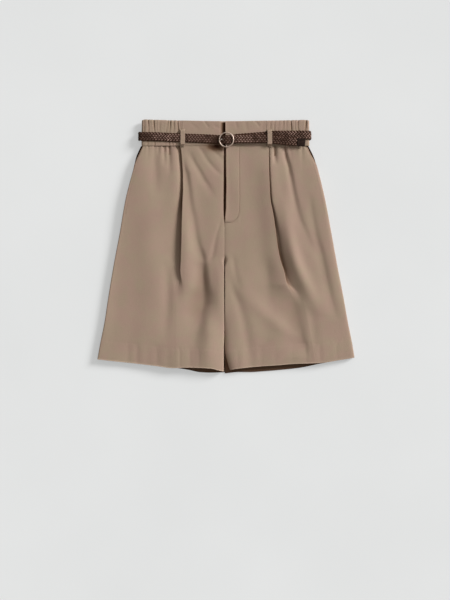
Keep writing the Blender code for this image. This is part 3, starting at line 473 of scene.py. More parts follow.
# soft folds, each along its own line from the top down; depth below the cloth around it, ridges above. The
# first number is how many times wider a fold is on its right-hand side of the body, away from the light
folds = [(wider, table("x y depth width", *rows)) for wider, rows in (
    (2.2, ((-86, 180, 0, 5), (-84, 163, -1.4, 5), (-79, 143, -2.8, 5.5), (-77.5, 133, -3, 5.5),
        (-75, 113, -2.8, 6), (-73, 93, -2.8, 6.5), (-70, 73, -2.6, 7), (-66, 53, -2.4, 7.5), (-61, 23, -2.2, 7),
        (-56, 3, -2.1, 6.5), (-49, -17, -1.5, 6), (-46, -32, 0, 6))),
    (1, ((-9, 62, 0, 3.5), (-12, 45, -0.5, 3.8), (-19, 22, -0.7, 4.5), (-23, 3, -1.1, 5), (-27, -17, -1.2, 5.5),
        (-34, -34, 0, 6))),
    (2, ((-49, -4, 0, 6), (-47, -28, -2.6, 7.5), (-46, -50, -5.8, 8), (-45, -78, -7.6, 10), (-46, -104, -8.2, 15),
        (-50, -130, -7, 15), (-54, -150, -4.6, 14), (-62, -176, -2.4, 13.5), (-66, -207, -1.4, 13),
        (-68, -234, -1, 13), (-69, -258, -0.6, 13))),
    (0.75, ((-37, -116, 0, 20), (-35, -146, 2.6, 21), (-33, -177, 4.6, 22), (-34, -207, 4.4, 23),
        (-32, -234, 3.2, 24), (-30, -258, 2.4, 24))),
    (1, ((-22, -20, 0, 9), (-16, -60, 0.9, 10), (-14, -110, 0.9, 10), (-18, -150, 0, 10))),
    (1.4, ((-74, 194, 0, 5), (-66, 173, -1.2, 5), (-53, 150, -1.4, 5.5), (-44, 133, -1.4, 6), (-33, 115, -0.9, 7),
        (-24, 93, 0, 8))),
    (1, ((-58, 204, 0, 5), (-48, 191, -0.9, 5.5), (-37, 172, -1, 6), (-21, 153, -0.9, 7), (-8, 138, 0, 8))),
    (1, ((-40, 203, 0, 6), (-24, 190, -0.7, 6), (-10, 176, -0.7, 7), (-2, 160, 0, 7))),
    (1.6, ((-119, -28, 0, 7), (-117, -60, -1.3, 7), (-116, -110, -1.6, 7), (-119, -152, -1.2, 8),
        (-122, -196, 0, 8))),
    (1, ((-124, 207, 0, 3.5), (-124, 198, -1.9, 3.6), (-123, 178, -1.5, 4), (-122, 158, 0, 5))),
    (1, ((-115, 207, 0, 3.5), (-114, 198, -2.2, 3.8), (-113, 172, -1.6, 4.5), (-112, 140, 0, 5))),
    (1, ((-135, 207, 0, 3), (-135, 196, -1.2, 3.2), (-135, 180, 0, 4))),
    (1.5, ((-141, 205, 0, 6), (-141, 182, -1.2, 7), (-140, 140, -1.4, 8), (-142, 100, 0, 9))),
    (1, ((98, 207, 0, 2.8), (98, 198, -3.4, 2.9), (98, 186, -3.6, 3), (98, 177, -2.8, 3.4), (98.5, 162, 0, 4))),
    (1.6, ((118, 207, 0, 3), (118, 193, -2.8, 3.1), (121, 177, -3.2, 3.3), (125, 163, -3, 3.5),
        (129, 143, -2.8, 3.9), (134, 113, -2.4, 4.4), (138, 93, -2.4, 5), (142, 73, -2, 6),
        (148, 53, -1.6, 6.5), (157, 33, -1.3, 7), (166, 8, -1, 7), (176, -18, 0, 8))),
    (1.6, ((167, 108, 0, 6), (170, 80, -1, 6), (174, 53, -1.3, 6.5), (182, 13, -1.6, 7), (188, -7, -1.9, 7.5),
        (201, -67, -2.1, 8), (214, -122, -1.2, 8), (222, -150, 0, 8))),
    (1, ((8, -48, 0, 9), (14, -84, -1.1, 9), (27, -118, -1.6, 10), (38, -160, -1.8, 11), (46, -210, -1.7, 12),
        (52, -256, -1.2, 12))),
    (1.6, ((82, -18, 0, 8), (83, -50, -0.9, 8), (85, -90, -0.8, 9), (88, -122, 0, 9))),
    (1, ((14, -12, 0, 7), (16, -36, -0.8, 6), (22, -66, -0.8, 7), (30, -92, 0, 8))),
    (2.4, ((122, -76, 0, 16), (130, -107, -3.8, 19), (136, -130, -4.4, 19), (141, -155, -3.8, 17),
        (150, -187, -3.4, 11), (156, -222, 0, 12))),
    (1, ((166, -120, 0, 8), (173, -147, -1, 9), (177, -187, -0.6, 9), (182, -215, 0, 9))),
    (1, ((112, 110, 0, 10), (120, 60, 1.6, 11), (129, 10, 3.8, 12), (138, -28, 5.4, 12.5), (151, -62, 5.4, 15),
        (167, -96, 3.2, 16), (190, -140, 0, 15))),
    (1, ((10, -28, 0, 14), (45, -100, 1.1, 19), (105, -158, 1.8, 22), (150, -194, 0, 20))),
    (1, ((84, 194, 0, 16), (85, 165, 1.5, 17), (88, 120, 2, 19), (98, 60, 1.3, 20), (106, 0, 0, 20))),
    (1, ((18, 190, 0, 14), (17, 150, 0.9, 14), (22, 100, 0.8, 16), (30, 50, 0, 16))),
)]
hemLift = {"x": -62, "width": 58, "rise": 5, "from": -120, "to": -244}
# the edges' rounding: a soft fall over this width, then a sharp one down to what the edge is sewn to
sideRoll = {right: {"soft": 0, "width": 4, "sharp": 0.22}, left: {"soft": 2.6, "width": 4.5, "sharp": 0.3}}
innerRoll = {
    right: {"soft": 0.6, "width": 3, "from": (-20, -60)}, "sharp": 0.15, "sewn": 3,
    left: {"soft": 4.5, "width": 7, "from": (-120, -190)},
}
mouth = {"inset": 3.5, "from": (160, 186)}           # the front's side edge lies inside the outline there

# gathers that the elastic draws in: on the band, at its foot, and how far each runs down the front
gathers = table(
    "x low strength run",
    (-163.8, -163.4, 0.8, 10), (-155.4, -155.6, 1, 14), (-150, -149.6, 0.2, 9), (-143.6, -142.6, 0.85, 18),
    (-138, -137, 0.15, 8), (-131.4, -131.6, 0.3, 12), (-117.4, -121.6, 0.55, 26), (-112.4, -113, 0.95, 34),
    (-104.8, -105.6, 0.5, 22), (-96.4, -98.4, 0.8, 14), (-90.6, -90.4, 0.3, 8),
    (89.8, 89.6, 0.3, 8), (97.4, 99.4, 0.35, 24), (104.6, 106.6, 0.25, 12), (113.6, 113, 0.4, 20),
    (120.4, 119.8, 0.2, 10), (130, 129.2, 1, 16), (138.6, 138.4, 0.3, 12), (144.4, 150.4, 1, 20),
    (159.8, 153, 1, 14), (164, 163, 0.3, 8),
)
hemCreases = table(
    "x depth width",
    (-196, 0.35, 4), (-178, 0.7, 4), (-157, 0.3, 3), (-138, 0.7, 4), (-116, 0.5, 3), (-92, 0.35, 3.2), (-72, 0.35, 3.2),
    (-54, 0.3, 3.2), (24, 0.3, 4), (70, 0.45, 5), (98, 0.35, 4), (133, 0.45, 4), (160, 0.3, 4), (188, 0.4, 4),
    (221, 0.3, 4),
)
flyStitch = np.array([
    (27, 198), (27, 140), (27, 92), (27, 76), (26.2, 67), (24.3, 60), (21, 54.8), (17, 51.2), (12.4, 49.1), (6, 48.3),
    (-1.8, 48.2),
], float)


def backLift(y):
    # the belt behind lifts the cloth near the waist
    return shorts["backLift"] * ease(y, shorts["liftEnd"], shorts["seam"])


def foldHeight(x, y):
    # each fold is its depth times a bell across its line, both taken from its table at this y
    total = hemLift["rise"] * bell(x - hemLift["x"], hemLift["width"]) * ease(y, hemLift["from"], hemLift["to"])
    for wider, fold in folds:
        line, depth, width = (through(fold, name, y, "y") for name in ("x", "depth", "width"))
        total = total + depth * bell(x - line, width * np.where(x < line, wider, 1))
    return total


waves = {"count": 26, "sizes": (38, 150), "turn": 0.5, "flatter": 0.45, "height": 0.12, "usual": 90}
waveTurn = rng.uniform(-waves["turn"], waves["turn"], waves["count"])      # mostly running down the leg
waveSize = rng.uniform(*waves["sizes"], waves["count"])
wavePhase = rng.uniform(0, 2 * math.pi, waves["count"])


def softWaves(x, y):
    # the slack of laid cloth: the sum of sines across the leg, each longer wave a little higher
    total = np.zeros(np.broadcast(x, y).shape)
    for turn, size, phase in zip(waveTurn, waveSize, wavePhase):
        run = x * math.cos(turn) + y * math.sin(turn) * waves["flatter"]
        total += waves["height"] * (size / waves["usual"]) * np.sin(2 * math.pi * run / size + phase)
    return total


def pleatCurve(side, y, s):
    # the knife fold as an S: low layer in, round, back out, round, and on as the high layer; s runs 0 to 1
    name, shape = sideNames[side], pleatShape
    line, rise = through(pleat, name, y), through(pleat, name + "Rise", y)
    depth, lead = through(pleatDepth, "depth", y), through(pleatDip, name + "Lead", y)
    high = through(level, "centre", y) + shape["crest"] * rise * ease(y, *shape["crestFrom"])
    low, edge = high - rise, np.minimum(shape["edge"], rise / 4)
    r = rise / 2 - edge
    ends = (0, 0.2, 0.4, 0.52, 0.85, 1)                  # the share of s at which each stretch of the S ends
    part = [np.clip((s - start) / (end - start), 0, 1) for start, end in zip(ends, ends[1:])]
    inTurn, outTurn = math.pi * (part[1] - 0.5), math.pi * (part[3] - 0.5)
    places = [
        line + lead - (depth + lead) * part[0], line - depth - r * np.cos(inTurn), line - depth * (1 - part[2]),
        line + edge * np.cos(outTurn), line - shape["step"] * part[4],
    ]
    heights = [low + 0 * s, low + r + r * np.sin(inTurn), low + 2 * r, high - edge + edge * np.sin(outTurn), high]
    which = [s < end for end in ends[1:5]]
    out, height = np.select(which, places[:4], places[4]), np.select(which, heights[:4], heights[4])
    opened = ease(y, *shape["opens"][side])
    openOut, openHeight = line + shape["spread"] * (1 - 2 * s), low + rise * ease(s, 0, 1)
    return out + (openOut - out) * opened, height + (openHeight - height) * opened


def frontDetail(side, x, y, aboveHem):
    # puckers at the waist seam, elastic gathers running down, the hem's stitch line and the fly's ridge
    size = {
        "pucker": 0.28, "puckerPitch": 8.2, "puckerRun": 5, "gather": 1.15, "gatherWidth": 2.3, "widens": 0.05,
        "lean": 0.04, "allowance": 0.22, "allowanceAt": 3.2, "allowanceWidth": 2.4, "pick": 0.22, "pickPitch": 9.4,
        "between": 0.03, "pickWidth": 1.9, "turnUp": 0.12, "flyRise": 0.3, "flyGroove": 0.42, "stitchWidth": 1.1,
    }
    below = shorts["seam"] - y
    flat = 1 - ease(np.abs(x + 1), 80, 90)               # between the front loops
    pucker = (0.5 - 0.5 * np.cos(2 * math.pi * (x + 1.4 * np.sin(x / 9)) / size["puckerPitch"])) * flat
    total = -size["pucker"] * pucker * np.exp(-below / size["puckerRun"])
    for row in gathers:
        line = row["low"] + size["lean"] * below * np.sign(row["low"])
        width = size["gatherWidth"] + size["widens"] * below
        total -= size["gather"] * row["strength"] * bell(x - line, width) * np.exp(-below / row["run"])
    total += size["allowance"] * bell(below - size["allowanceAt"], size["allowanceWidth"])
    line = aboveHem - shorts["hem"]
    picks = 0.5 + 0.5 * np.cos(2 * math.pi * x / size["pickPitch"])
    total -= (size["between"] + size["pick"] * picks ** 3) * bell(line, size["pickWidth"])
    total += size["turnUp"] * ease(line, 3, -3)
    for row in hemCreases:
        total -= row["depth"] * bell(x - row["x"], row["width"]) * ease(aboveHem, 46, 30) * ease(aboveHem, -4, 6)
    if side == left:
        inside = ease(x, 29, 25) * ease(y, 46, 52)
        groove = bell(awayFrom(flyStitch, x, y), size["stitchWidth"])
        total += size["flyRise"] * inside - size["flyGroove"] * groove
    return total


def frontSurface(side):
    # the front's middle surface on a grid: rows from the waist to the hem, and columns by s from the side seam in,
    # 0 to 1 outside the pleat, 1 to 2 round its fold and 2 to 3 inside it
    size = {
        "rows": 250, "columns": (52, 60, 52), "beside": (4.2, 3.2, 2.4, 1.8, 1.2, 0.6), "closer": 1.8, "widest": 257,
        "crotchFade": (-16, 12), "fly": (40, 60), "pocketFade": 24, "lift": 0.5, "calm": 7, "calmShare": 0.7,
        "sewnDrop": 0.7, "flyDrop": {right: 0.8, left: -0.5},
    }
    name, cloth, gap = sideNames[side], shorts["cloth"], shorts["gap"]
    outside, around, inside = (np.linspace(0, 1, count) for count in np.add(size["columns"], (0, 2, 0)))
    beside = 1 - np.array(size["beside"]) / 80           # closer columns next to the fold
    s = np.concatenate([np.unique([*outside ** size["closer"], *beside]), 1 + around[1:-1],
                        3 - (1 - inside) ** size["closer"]]).reshape(-1, 1)
    near = size["rows"] // 6                             # closer rows in the first 12 % below the waist
    v = np.concatenate([np.linspace(0, 0.12, near)[:-1], np.linspace(0.12, 1, size["rows"] - near + 1)])
    guess = np.linspace(size["widest"], 0, len(s))       # how far out each column ends, found in three rounds
    for _ in range(3):
        hem = through(frontHem, name, np.clip(guess, 0, None)).reshape(-1, 1)
        top = shorts["seam"] - gap / 2
        y = top + (hem - top) * v
        legs = 1 - ease(y, *np.add(shorts["crotch"], size["crotchFade"]))
        fly, pocket = ease(y, *size["fly"]), ease(y, shorts["pocketEnd"] - size["pocketFade"], shorts["pocketEnd"])
        edge = through(outline, name, y) - cloth / 2 - mouth["inset"] * ease(y, *mouth["from"])
        inner = through(innerEdge, name, y) + (1 - (1 - legs) ** 3) * cloth / 2
        outerZ, centreZ = through(level, "outer", y), through(level, "centre", y)
        startZ = backLift(y) + cloth + size["lift"] + pocket * (cloth + gap)
        foldOut, foldZ = pleatCurve(side, y, np.clip(s - 1, 0, 1) + 0 * y)
        firstOut, firstZ = pleatCurve(side, y, 0 * y)
        lastOut, lastZ = pleatCurve(side, y, 1 + 0 * y)
        outOut = edge + (firstOut - edge) * np.clip(s, 0, 1)
        dip = (outerZ - firstZ) * np.exp(-(outOut - firstOut) / through(pleatDip, name, y))
        soft = sideRoll[side]["soft"] * np.exp((outOut - edge) / sideRoll[side]["width"])
        outZ = startZ + (outerZ - dip - soft - startZ) * (1 - np.exp((outOut - edge) / sideRoll[side]["sharp"]))
        inOut = lastOut + (inner - lastOut) * np.clip(s - 2, 0, 1)
        sewn = (1 - fly) * size["sewnDrop"] + fly * size["flyDrop"][side]
        drop = legs * (centreZ - startZ) + (1 - legs) * sewn
        soft = innerRoll[side]["soft"] * ease(y, *innerRoll[side]["from"]) * legs
        inZ = centreZ + (lastZ - centreZ) * bell(lastOut - inOut, pleatShape["crestWidth"][side])
        inZ = inZ - soft * np.exp((inner - inOut) / innerRoll[side]["width"])
        sharp = innerRoll["sharp"] + (innerRoll["sewn"] - innerRoll["sharp"]) * (1 - legs)
        inZ = inZ - (drop - soft) * np.exp((inner - inOut) / sharp)
        places = np.select([s <= 1, s < 2], [outOut, foldOut], inOut)
        heights = np.select([s <= 1, s < 2], [outZ, foldZ], inZ)
        guess = places[:, -1]
    nearInner = size["calmShare"] * legs * np.exp((inner - places) / size["calm"])
    nearSeams = (1 - np.exp((places - edge) / size["calm"])) * (1 - nearInner)     # waves and folds calm down there
    x = shorts["centre"] + side * places
    shown = 1 - ((s > 1.02) & (s < 1.5)) * (1 - ease(y, *pleatShape["opens"][side]))
    detail = frontDetail(side, x, y, y - hem) + softWaves(x, y)
    z = heights + foldHeight(x, y) * nearSeams + detail * nearSeams * shown
    return grid(x, y, z), y - hem, s


def beltShade(x, y):
    # a painted shadow: the soft dark spot on the cloth below the ring's left, under the belt's buckle end
    spot = {"x": -19.5, "y": 199.8, "wider": 2.2, "width": 9, "dark": 0.95}
    away = np.hypot((x - spot["x"]) / spot["wider"], y - spot["y"])
    return spot["dark"] * bell(away, spot["width"]) * ease(x, -3, -8)


# painted shade along the sharpest gathers below the waist seam: how dark each is in its depth
seamLines = table(
    "x y toX toY depth width",
    (98, 200, 98, 182, 0.55, 1.3), (118, 198, 120.6, 177, 0.4, 1.3), (120.6, 177, 125, 160, 0.3, 1.3),
    (125, 160, 129, 143, 0.2, 1.3), (-121.2, 201, -121, 190, 0.35, 1.2), (-113, 203, -112.4, 184, 0.4, 1.3),
    (-96, 202, -95, 188, 0.25, 1.6),
)


def makeFront(side):
    # painted shade: in the fly's stitch groove, at the pocket mouth, along the fly's edge and in the folds' troughs
    dark = {"stitch": 0.22, "mouth": 0.45, "fly": 0.6, "trough": 0.15}
    turnUp = {"thick": 0.75, "soft": 0.6, "sides": (4, 14)}              # none in the side seams' first columns
    name, slot = sideNames[side], pleatSlot[side]
    middle, aboveHem, s = frontSurface(side)
    normal = unit(np.cross(np.gradient(middle, axis=0), np.gradient(middle, axis=1)))
    normal = normal * np.where(normal[5, 5, 2] < 0, -1, 1)
    fromEdge = np.minimum(np.arange(len(s)), np.arange(len(s))[::-1]).reshape(-1, 1)
    turned = turnUp["thick"] * ease(aboveHem, shorts["hem"] + turnUp["soft"], shorts["hem"] - turnUp["soft"])
    turned = turned * ease(fromEdge, *turnUp["sides"])
    outer = middle + normal * shorts["cloth"] / 2
    inner = middle - normal * (shorts["cloth"] / 2 + turned[..., None])
    x, y = middle[..., 0], middle[..., 1]
    away = np.abs(side * (x - shorts["centre"]) - through(pleat, name, y))
    # painted shade in the pleat's slot, the belt's painted shadow and painted shade along the gathers; the hem's folded
    # edge is lighter
    inSlot = through(slot, "dark", y) * ease(s, 0.6, 1) * ease(s, 1.9, 1.6) * np.exp(-away / through(slot, "wide", y))
    wearAndPaintedLight = bell(aboveHem, 2.2) - beltShade(x, y) - inSlot - np.max([mark(row, x, y) for row in seamLines], axis=0)
    wearAndPaintedLight = wearAndPaintedLight - dark["stitch"] * bell(awayFrom(flyStitch, x, y), 0.9) * (side == left)
    wearAndPaintedLight = wearAndPaintedLight - dark["mouth"] * bell(x - x[:1], 1.8) * ease(y, 150, 168)
    wearAndPaintedLight = wearAndPaintedLight - dark["fly"] * bell(x - x[-1:], 0.9) * ease(y, 40, 56)
    wearAndPaintedLight = wearAndPaintedLight - dark["trough"] * ease(foldHeight(x, y), -1, -7)
    return addWall("clothFront" + name.capitalize(), "front_" + name, outer, inner, wearAndPaintedLight)


fronts = {side: makeFront(side) for side in (right, left)}
print("fronts made")


def makeBack(side):
    # flat underside from the liftEnd down, small gathers above it, the hem turned up inside
    size = {"rows": 170, "columns": 110, "pitch": 13.5, "depth": 0.9, "turnUp": 0.55, "widest": 258, "inset": 0.3}
    name, cloth = sideNames[side], shorts["cloth"]
    share = np.linspace(0, 1, size["columns"]).reshape(-1, 1)
    hem = through(backHem, name, share * size["widest"])
    top = shorts["seam"] - shorts["gap"] / 2
    y = top + (hem - top) * np.linspace(0, 1, size["rows"])
    out = size["inset"] + (through(outline, name, y) - 2 * size["inset"]) * share
    gather = 0.5 + 0.5 * np.cos(2 * math.pi * out / size["pitch"])
    edges = ease(share, 0, 0.1) * (1 - ease(share, 0.88, 0.97))
    low = backLift(y) + size["depth"] * gather * edges * ease(y, shorts["liftEnd"], shorts["seam"])
    x = shorts["centre"] + side * out
    aboveHem = y - hem
    turned = size["turnUp"] * ease(aboveHem - shorts["hem"], 0.6, -0.6) * edges
    rumple = (0.18 * np.sin(x / 17 + y / 41) + 0.14 * np.sin(x / 7.3 - y / 29)) * edges * ease(aboveHem, 0, 12)
    inner = grid(x, y, low + cloth + turned + np.maximum(rumple, -0.1))
    dark = -0.55 * ease(aboveHem, 60, 14)                # in the shade of the front, near the leg's opening
    return addWall("clothBack" + name.capitalize(), "back_" + name, grid(x, y, low), inner, dark, inside=True)


backs = {side: makeBack(side) for side in (right, left)}
print("backs made")


def makeFacing(side):
    # the pocket's inner strip, sloping up under the front's edge
    size = {"width": 26, "narrows": 0.6, "slope": 0.9, "rows": 60, "columns": 12}
    name, cloth = sideNames[side], shorts["cloth"]
    y = np.linspace(shorts["seam"] - 0.15, shorts["pocketEnd"] + 2, size["rows"])
    share = np.linspace(0, 1, size["columns"]).reshape(-1, 1)
    width = size["width"] * (1 - size["narrows"] * ease(y, 110, shorts["pocketEnd"]))
    x = shorts["centre"] + side * (through(outline, name, y) - 0.5 - width * share)
    low = backLift(y) + cloth + shorts["gap"] + size["slope"] * ease(y, shorts["liftEnd"], shorts["seam"]) * share
    # painted shade along its outer edge near the waist, where it shows in the pocket mouth
    dark = -ease(share * width, 9, 4) * ease(y, 150, 172)
    return addWall("pocketFacing" + name.capitalize(), "pocket_facing_" + name, grid(x, y, low + cloth),
                   grid(x, y, low), dark)


def makeUnderlap():
    size = {"x": (-13, 22), "end": 40, "drop": 2.9, "rows": 90, "columns": 16, "dark": 0.95}
    y = np.linspace(shorts["seam"] - 0.15, size["end"], size["rows"])
    x = np.linspace(*size["x"], size["columns"]).reshape(-1, 1) + 0 * y
    middle = through(level, "centre", y) - size["drop"] + foldHeight(x, y) + 0.5 * softWaves(x, y)
    half = shorts["cloth"] / 2
    dark = -size["dark"] * ease(np.abs(x + 1.5), 9, 4)   # painted shade, where it lies deep in the gap of the fly
    return addWall("flyUnderlap", "fly_underlap", grid(x, y, middle + half), grid(x, y, middle - half), dark)


facings = {side: makeFacing(side) for side in (right, left)}
underlap = makeUnderlap()


bandCreases = table(
    "x y toX toY depth width",
    (-45, 252, -36, 240, 0.55, 2.2), (-22, 240, -4, 232, 0.45, 2.6), (-70, 246, -58, 236, 0.25, 3),
    (-80, 205, -62, 202, 0.3, 2), (18, 252, 22, 238, 0.35, 3), (58, 251, 66, 241, 0.5, 2.2),
    (38, 250, 42, 234, 0.4, 4), (76, 250, 72, 236, 0.3, 3),
)


def bandRows(count, bottom, top):
    # closer rows at the band's two edges
    return bottom + (top - bottom) * (0.5 - 0.5 * np.cos(np.linspace(0, math.pi, count))).reshape(-1, 1)


def makeFrontBand(side):
    # two layers of cloth with a folded top; the right half dips and runs on under the left
    size = {
        "outer": 84, "thick": 2, "rows": 28, "columns": 90, "end": {right: 17, left: -0.8}, "rise": 1.3,
        "dip": (-14, -4.6), "dark": 0.9,
    }
    name, half = sideNames[side], size["thick"] / 2
    mid = shorts["bandFace"] - half
    x = np.linspace(shorts["centre"] + side * size["outer"], size["end"][side], size["columns"])
    if side == right:
        z = mid - (size["thick"] + shorts["gap"] + 0.1) * ease(x, *size["dip"])
    else:
        z = mid + size["rise"] * np.exp(-(x - size["end"][side]) / 5)
    bottom, top = shorts["seam"] + shorts["gap"] / 2, through(waistTop, "y", x) - 0.6 * (x > 0) * (side == right)
    y = bandRows(size["rows"], bottom, top)
    x = x + 0 * y
    fromTop, fromSeam = top - y, y - bottom
    thin = np.minimum(0.75 * bell(fromTop, 1.1) + 0.45 * bell(fromSeam, 0.8), half * 0.8)    # at the fold and seam
    groove = 0.28 * bell(fromSeam - 2, 0.7) + 0.22 * bell(fromTop - 2, 0.7)              # along the stitches
    ripple = 0.12 * np.sin(x / 6.1) * bell(fromSeam - 2, 5) + 0.1 * np.sin(x / 23 + y / 19)
    face = z + half - thin - groove + ripple * 0.8 - sum(mark(row, x, y) for row in bandCreases)
    # painted shade where the right half runs under the left, fading at the top, and the belt's painted shadow; the
    # folded top is lighter
    under = ease(x, -14, -3) if side == right else 0
    wearAndPaintedLight = bell(fromTop, 1.4) * 0.6 * (1 - under) - size["dark"] * under * ease(fromTop, 1, 3.5) - beltShade(x, y)
    return addWall("waistbandFront" + name.capitalize(), "waistband_front_" + name, grid(x, y, face),
                   grid(x, y, z - half + thin * 0.8), wearAndPaintedLight, bulge=0.12)


def makeElasticBand():
    # one band from a front band's end round the right side, the back and the left side to the other's
    size = {
        "thick": 2.4, "backZ": 4, "turn": {right: -164.8, left: 162.4}, "outer": 84, "front": 150, "back": 300,
        "turnSteps": 24, "gather": 1.7, "width": 1.6, "backPitch": 13.5, "backDepth": 0.9, "rows": 30,
        "loopX": -90.6, "loopDark": 0.75,
    }
    half, turnX = size["thick"] / 2, size["turn"]
    frontZ, backZ = shorts["bandFace"] - half, size["backZ"] + half
    middle, radius = (frontZ + backZ) / 2, (frontZ - backZ) / 2
    ends = {side: shorts["centre"] + side * (size["outer"] + shorts["gap"]) for side in sideNames}
    leftTurn = np.radians(np.linspace(90, -90, size["turnSteps"])[1:-1])
    rightTurn, leftTurn = math.pi - leftTurn, leftTurn[::-1]
    start = np.linspace(ends[right], turnX[right], size["front"])
    finish = np.linspace(turnX[left], ends[left], size["front"])
    back = np.linspace(turnX[right], turnX[left], size["back"])
    x = np.concatenate([start, turnX[right] + radius * np.cos(rightTurn), back,
                        turnX[left] + radius * np.cos(leftTurn), finish])
    z = np.concatenate([frontZ + 0 * start, middle + radius * np.sin(rightTurn), backZ + 0 * back,
                        middle + radius * np.sin(leftTurn), frontZ + 0 * finish])
    way = along(np.stack([x, z], -1))
    front = z > frontZ - 0.01
    small = 0.1 * (0.5 - 0.5 * np.cos(2 * math.pi * (x + 1.1 * np.sin(x / 5)) / 3.9))
    behind = size["backDepth"] * (0.5 - 0.5 * np.cos(2 * math.pi * x / size["backPitch"]))

    def gathered(at, lines):
        # how far the gathers pull the face in
        return (size["gather"] * gathers["strength"] * bell(at[..., None] - lines, size["width"])).sum(-1)

    pulled = np.where(front, np.minimum(gathered(x, gathers["x"]), 2.3) + small, behind)
    bottom = shorts["seam"] + shorts["gap"] / 2
    top = through(waistTop, "y", x) - np.where(front, 0, 1.2) - 0.3 * np.minimum(pulled, 2.4)
    y = bandRows(size["rows"], bottom, top)
    share = bandRows(size["rows"], 0, 1)
    sway = 0.9 * np.sin(share * 5.2 + x / 9)            # each gather wanders a little as it runs down
    patchy = 0.72 + 0.28 * np.sin(share * 7.5 + x / 6)  # and is deeper in places
    lines = gathers["low"] + (gathers["x"] - gathers["low"]) * ease(share, 0.15, 0.75)[..., None]
    shifted = gathered(x + sway, lines) * patchy
    pulled = np.where(front, np.minimum(shifted, 2.3) + small, behind)
    # the belt presses the middle flat, and the seam holds the foot
    held = (1 - 0.5 * bell(share - 0.5, 0.22)) * (0.4 + 0.6 * ease(share, 0.1, 0.4))
    fromTop, fromSeam = top - y, y - bottom
    thin = np.minimum(0.9 * bell(fromTop, 1.2) + 0.45 * bell(fromSeam, 0.8), 0.9)
    off = half - pulled * held - thin * 0.6 - 0.15 * bell(fromSeam - 2, 0.7)
    inOff = half - 0.3 * thin + np.maximum(pulled * held - 1.3, 0)
    # painted shade in the gathers' hollows, and a painted shadow line at the front right loop's outer edge
    hollow = np.where(front, np.minimum(shifted, 2) * (0.26 + 0.16 * ease(share, 0.9, 0.45)) * held, 0)
    beside = size["loopDark"] * bell(x - size["loopX"], 1.6) * ease(share, 0.55, 0.5) * front
    return addWall("waistbandElastic", "waistband_elastic", grid(x + way[:, 1] * off, y, z - way[:, 0] * off),
                   grid(x - way[:, 1] * inOff, y, z + way[:, 0] * inOff),
                   bell(fromTop, 1.4) * 0.6 - hollow - beside, bulge=0.1)


frontBands = {side: makeFrontBand(side) for side in (right, left)}
elasticBand = makeElasticBand()
print("waistband made")

# the belt's middle line: in front from the back's right turn to the tip, and from the buckle to the left turn
beltPath = {
    "tail": table(
        "x y z",
        (-150, 219.4, 14.7), (-94, 217, 14.7), (-26, 214.2, 14.7), (-13.6, 213.2, 14.7), (-9.8, 212.9, 15),
        (-4.6, 212.7, 18.5), (0.8, 212.6, 20.6), (5.6, 213, 19.4), (11, 213.6, 17.5), (18, 214.2, 17.4),
        (80, 214.6, 17.6), (96, 212.8, 17.6), (141.6, 208.2, 17.4),
    ),
    "buckleEnd": table("x y", (19.6, 215.6), (80, 220.4), (96, 222), (150, 222.4)),
    "frontZ": 14.7, "backZ": 2.5, "backY": 221.4, "turn": {right: -168.2, left: 163.4}, "step": 0.7,
    "turnSteps": 26, "backSteps": 470,
}
# how strong the painted highlight on the braid's crowns is along the front, weaker in some stretches and where the
# ring's shade falls
beltShine = table(
    "x share", (-174, 0.88), (-150, 0.93), (-140, 1.04), (-116, 1.05), (-104, 0.97), (-80, 0.96), (-34, 0.93),
    (-18, 0.8), (-8, 0.92), (14, 1), (40, 1.01), (60, 0.96), (84, 0.93), (100, 0.9), (122, 0.97), (140, 1.02),
    (170, 1),
)


def strapPath():
    # from the buckle round the left side, the back and the right side to the tail's end, evenly spaced
    p = beltPath
    frontZ, backZ, backY, step = p["frontZ"], p["backZ"], p["backY"], p["step"]
    rightX, leftX = p["turn"][right], p["turn"][left]
    middle, radius = (frontZ + backZ) / 2, (frontZ - backZ) / 2
    turn = np.radians(np.linspace(90, -90, p["turnSteps"]))
    slide = ease(np.linspace(0, 1, len(turn)), 0, 1)
    ahead = np.arange(p["buckleEnd"]["x"][0], leftX, step)
    aheadY = through(p["buckleEnd"], "y", ahead)
    tail = np.arange(rightX + step, p["tail"]["x"][-1], step)
    tailY, tailZ = through(p["tail"], "y", tail), through(p["tail"], "z", tail)
    path = np.concatenate([
        grid(ahead, aheadY, frontZ),
        grid(leftX + radius * np.cos(turn), aheadY[-1] + (backY - aheadY[-1]) * slide, middle + radius * np.sin(turn)),
        grid(np.linspace(leftX, rightX, p["backSteps"])[1:-1], backY, backZ),
        grid(rightX - radius * np.cos(turn), backY + (tailY[0] - backY) * slide, middle - radius * np.sin(turn)),
        grid(tail, tailY, tailZ),
    ])
    run = lengths(path)
    even = np.arange(0, run[-1], step)
    return np.stack([np.interp(even, run, path[:, k]) for k in range(3)], -1), even


def frameAlong(path, side):
    # directions across a strip, kept near side, and out of its face
    way = along(path)
    across = unit(side - (way @ side)[:, None] * way)
    return across, np.cross(way, across)


def rounded(part, power):
    # a superellipse's coordinate from a circle's
    return np.sign(part) * np.abs(part) ** power


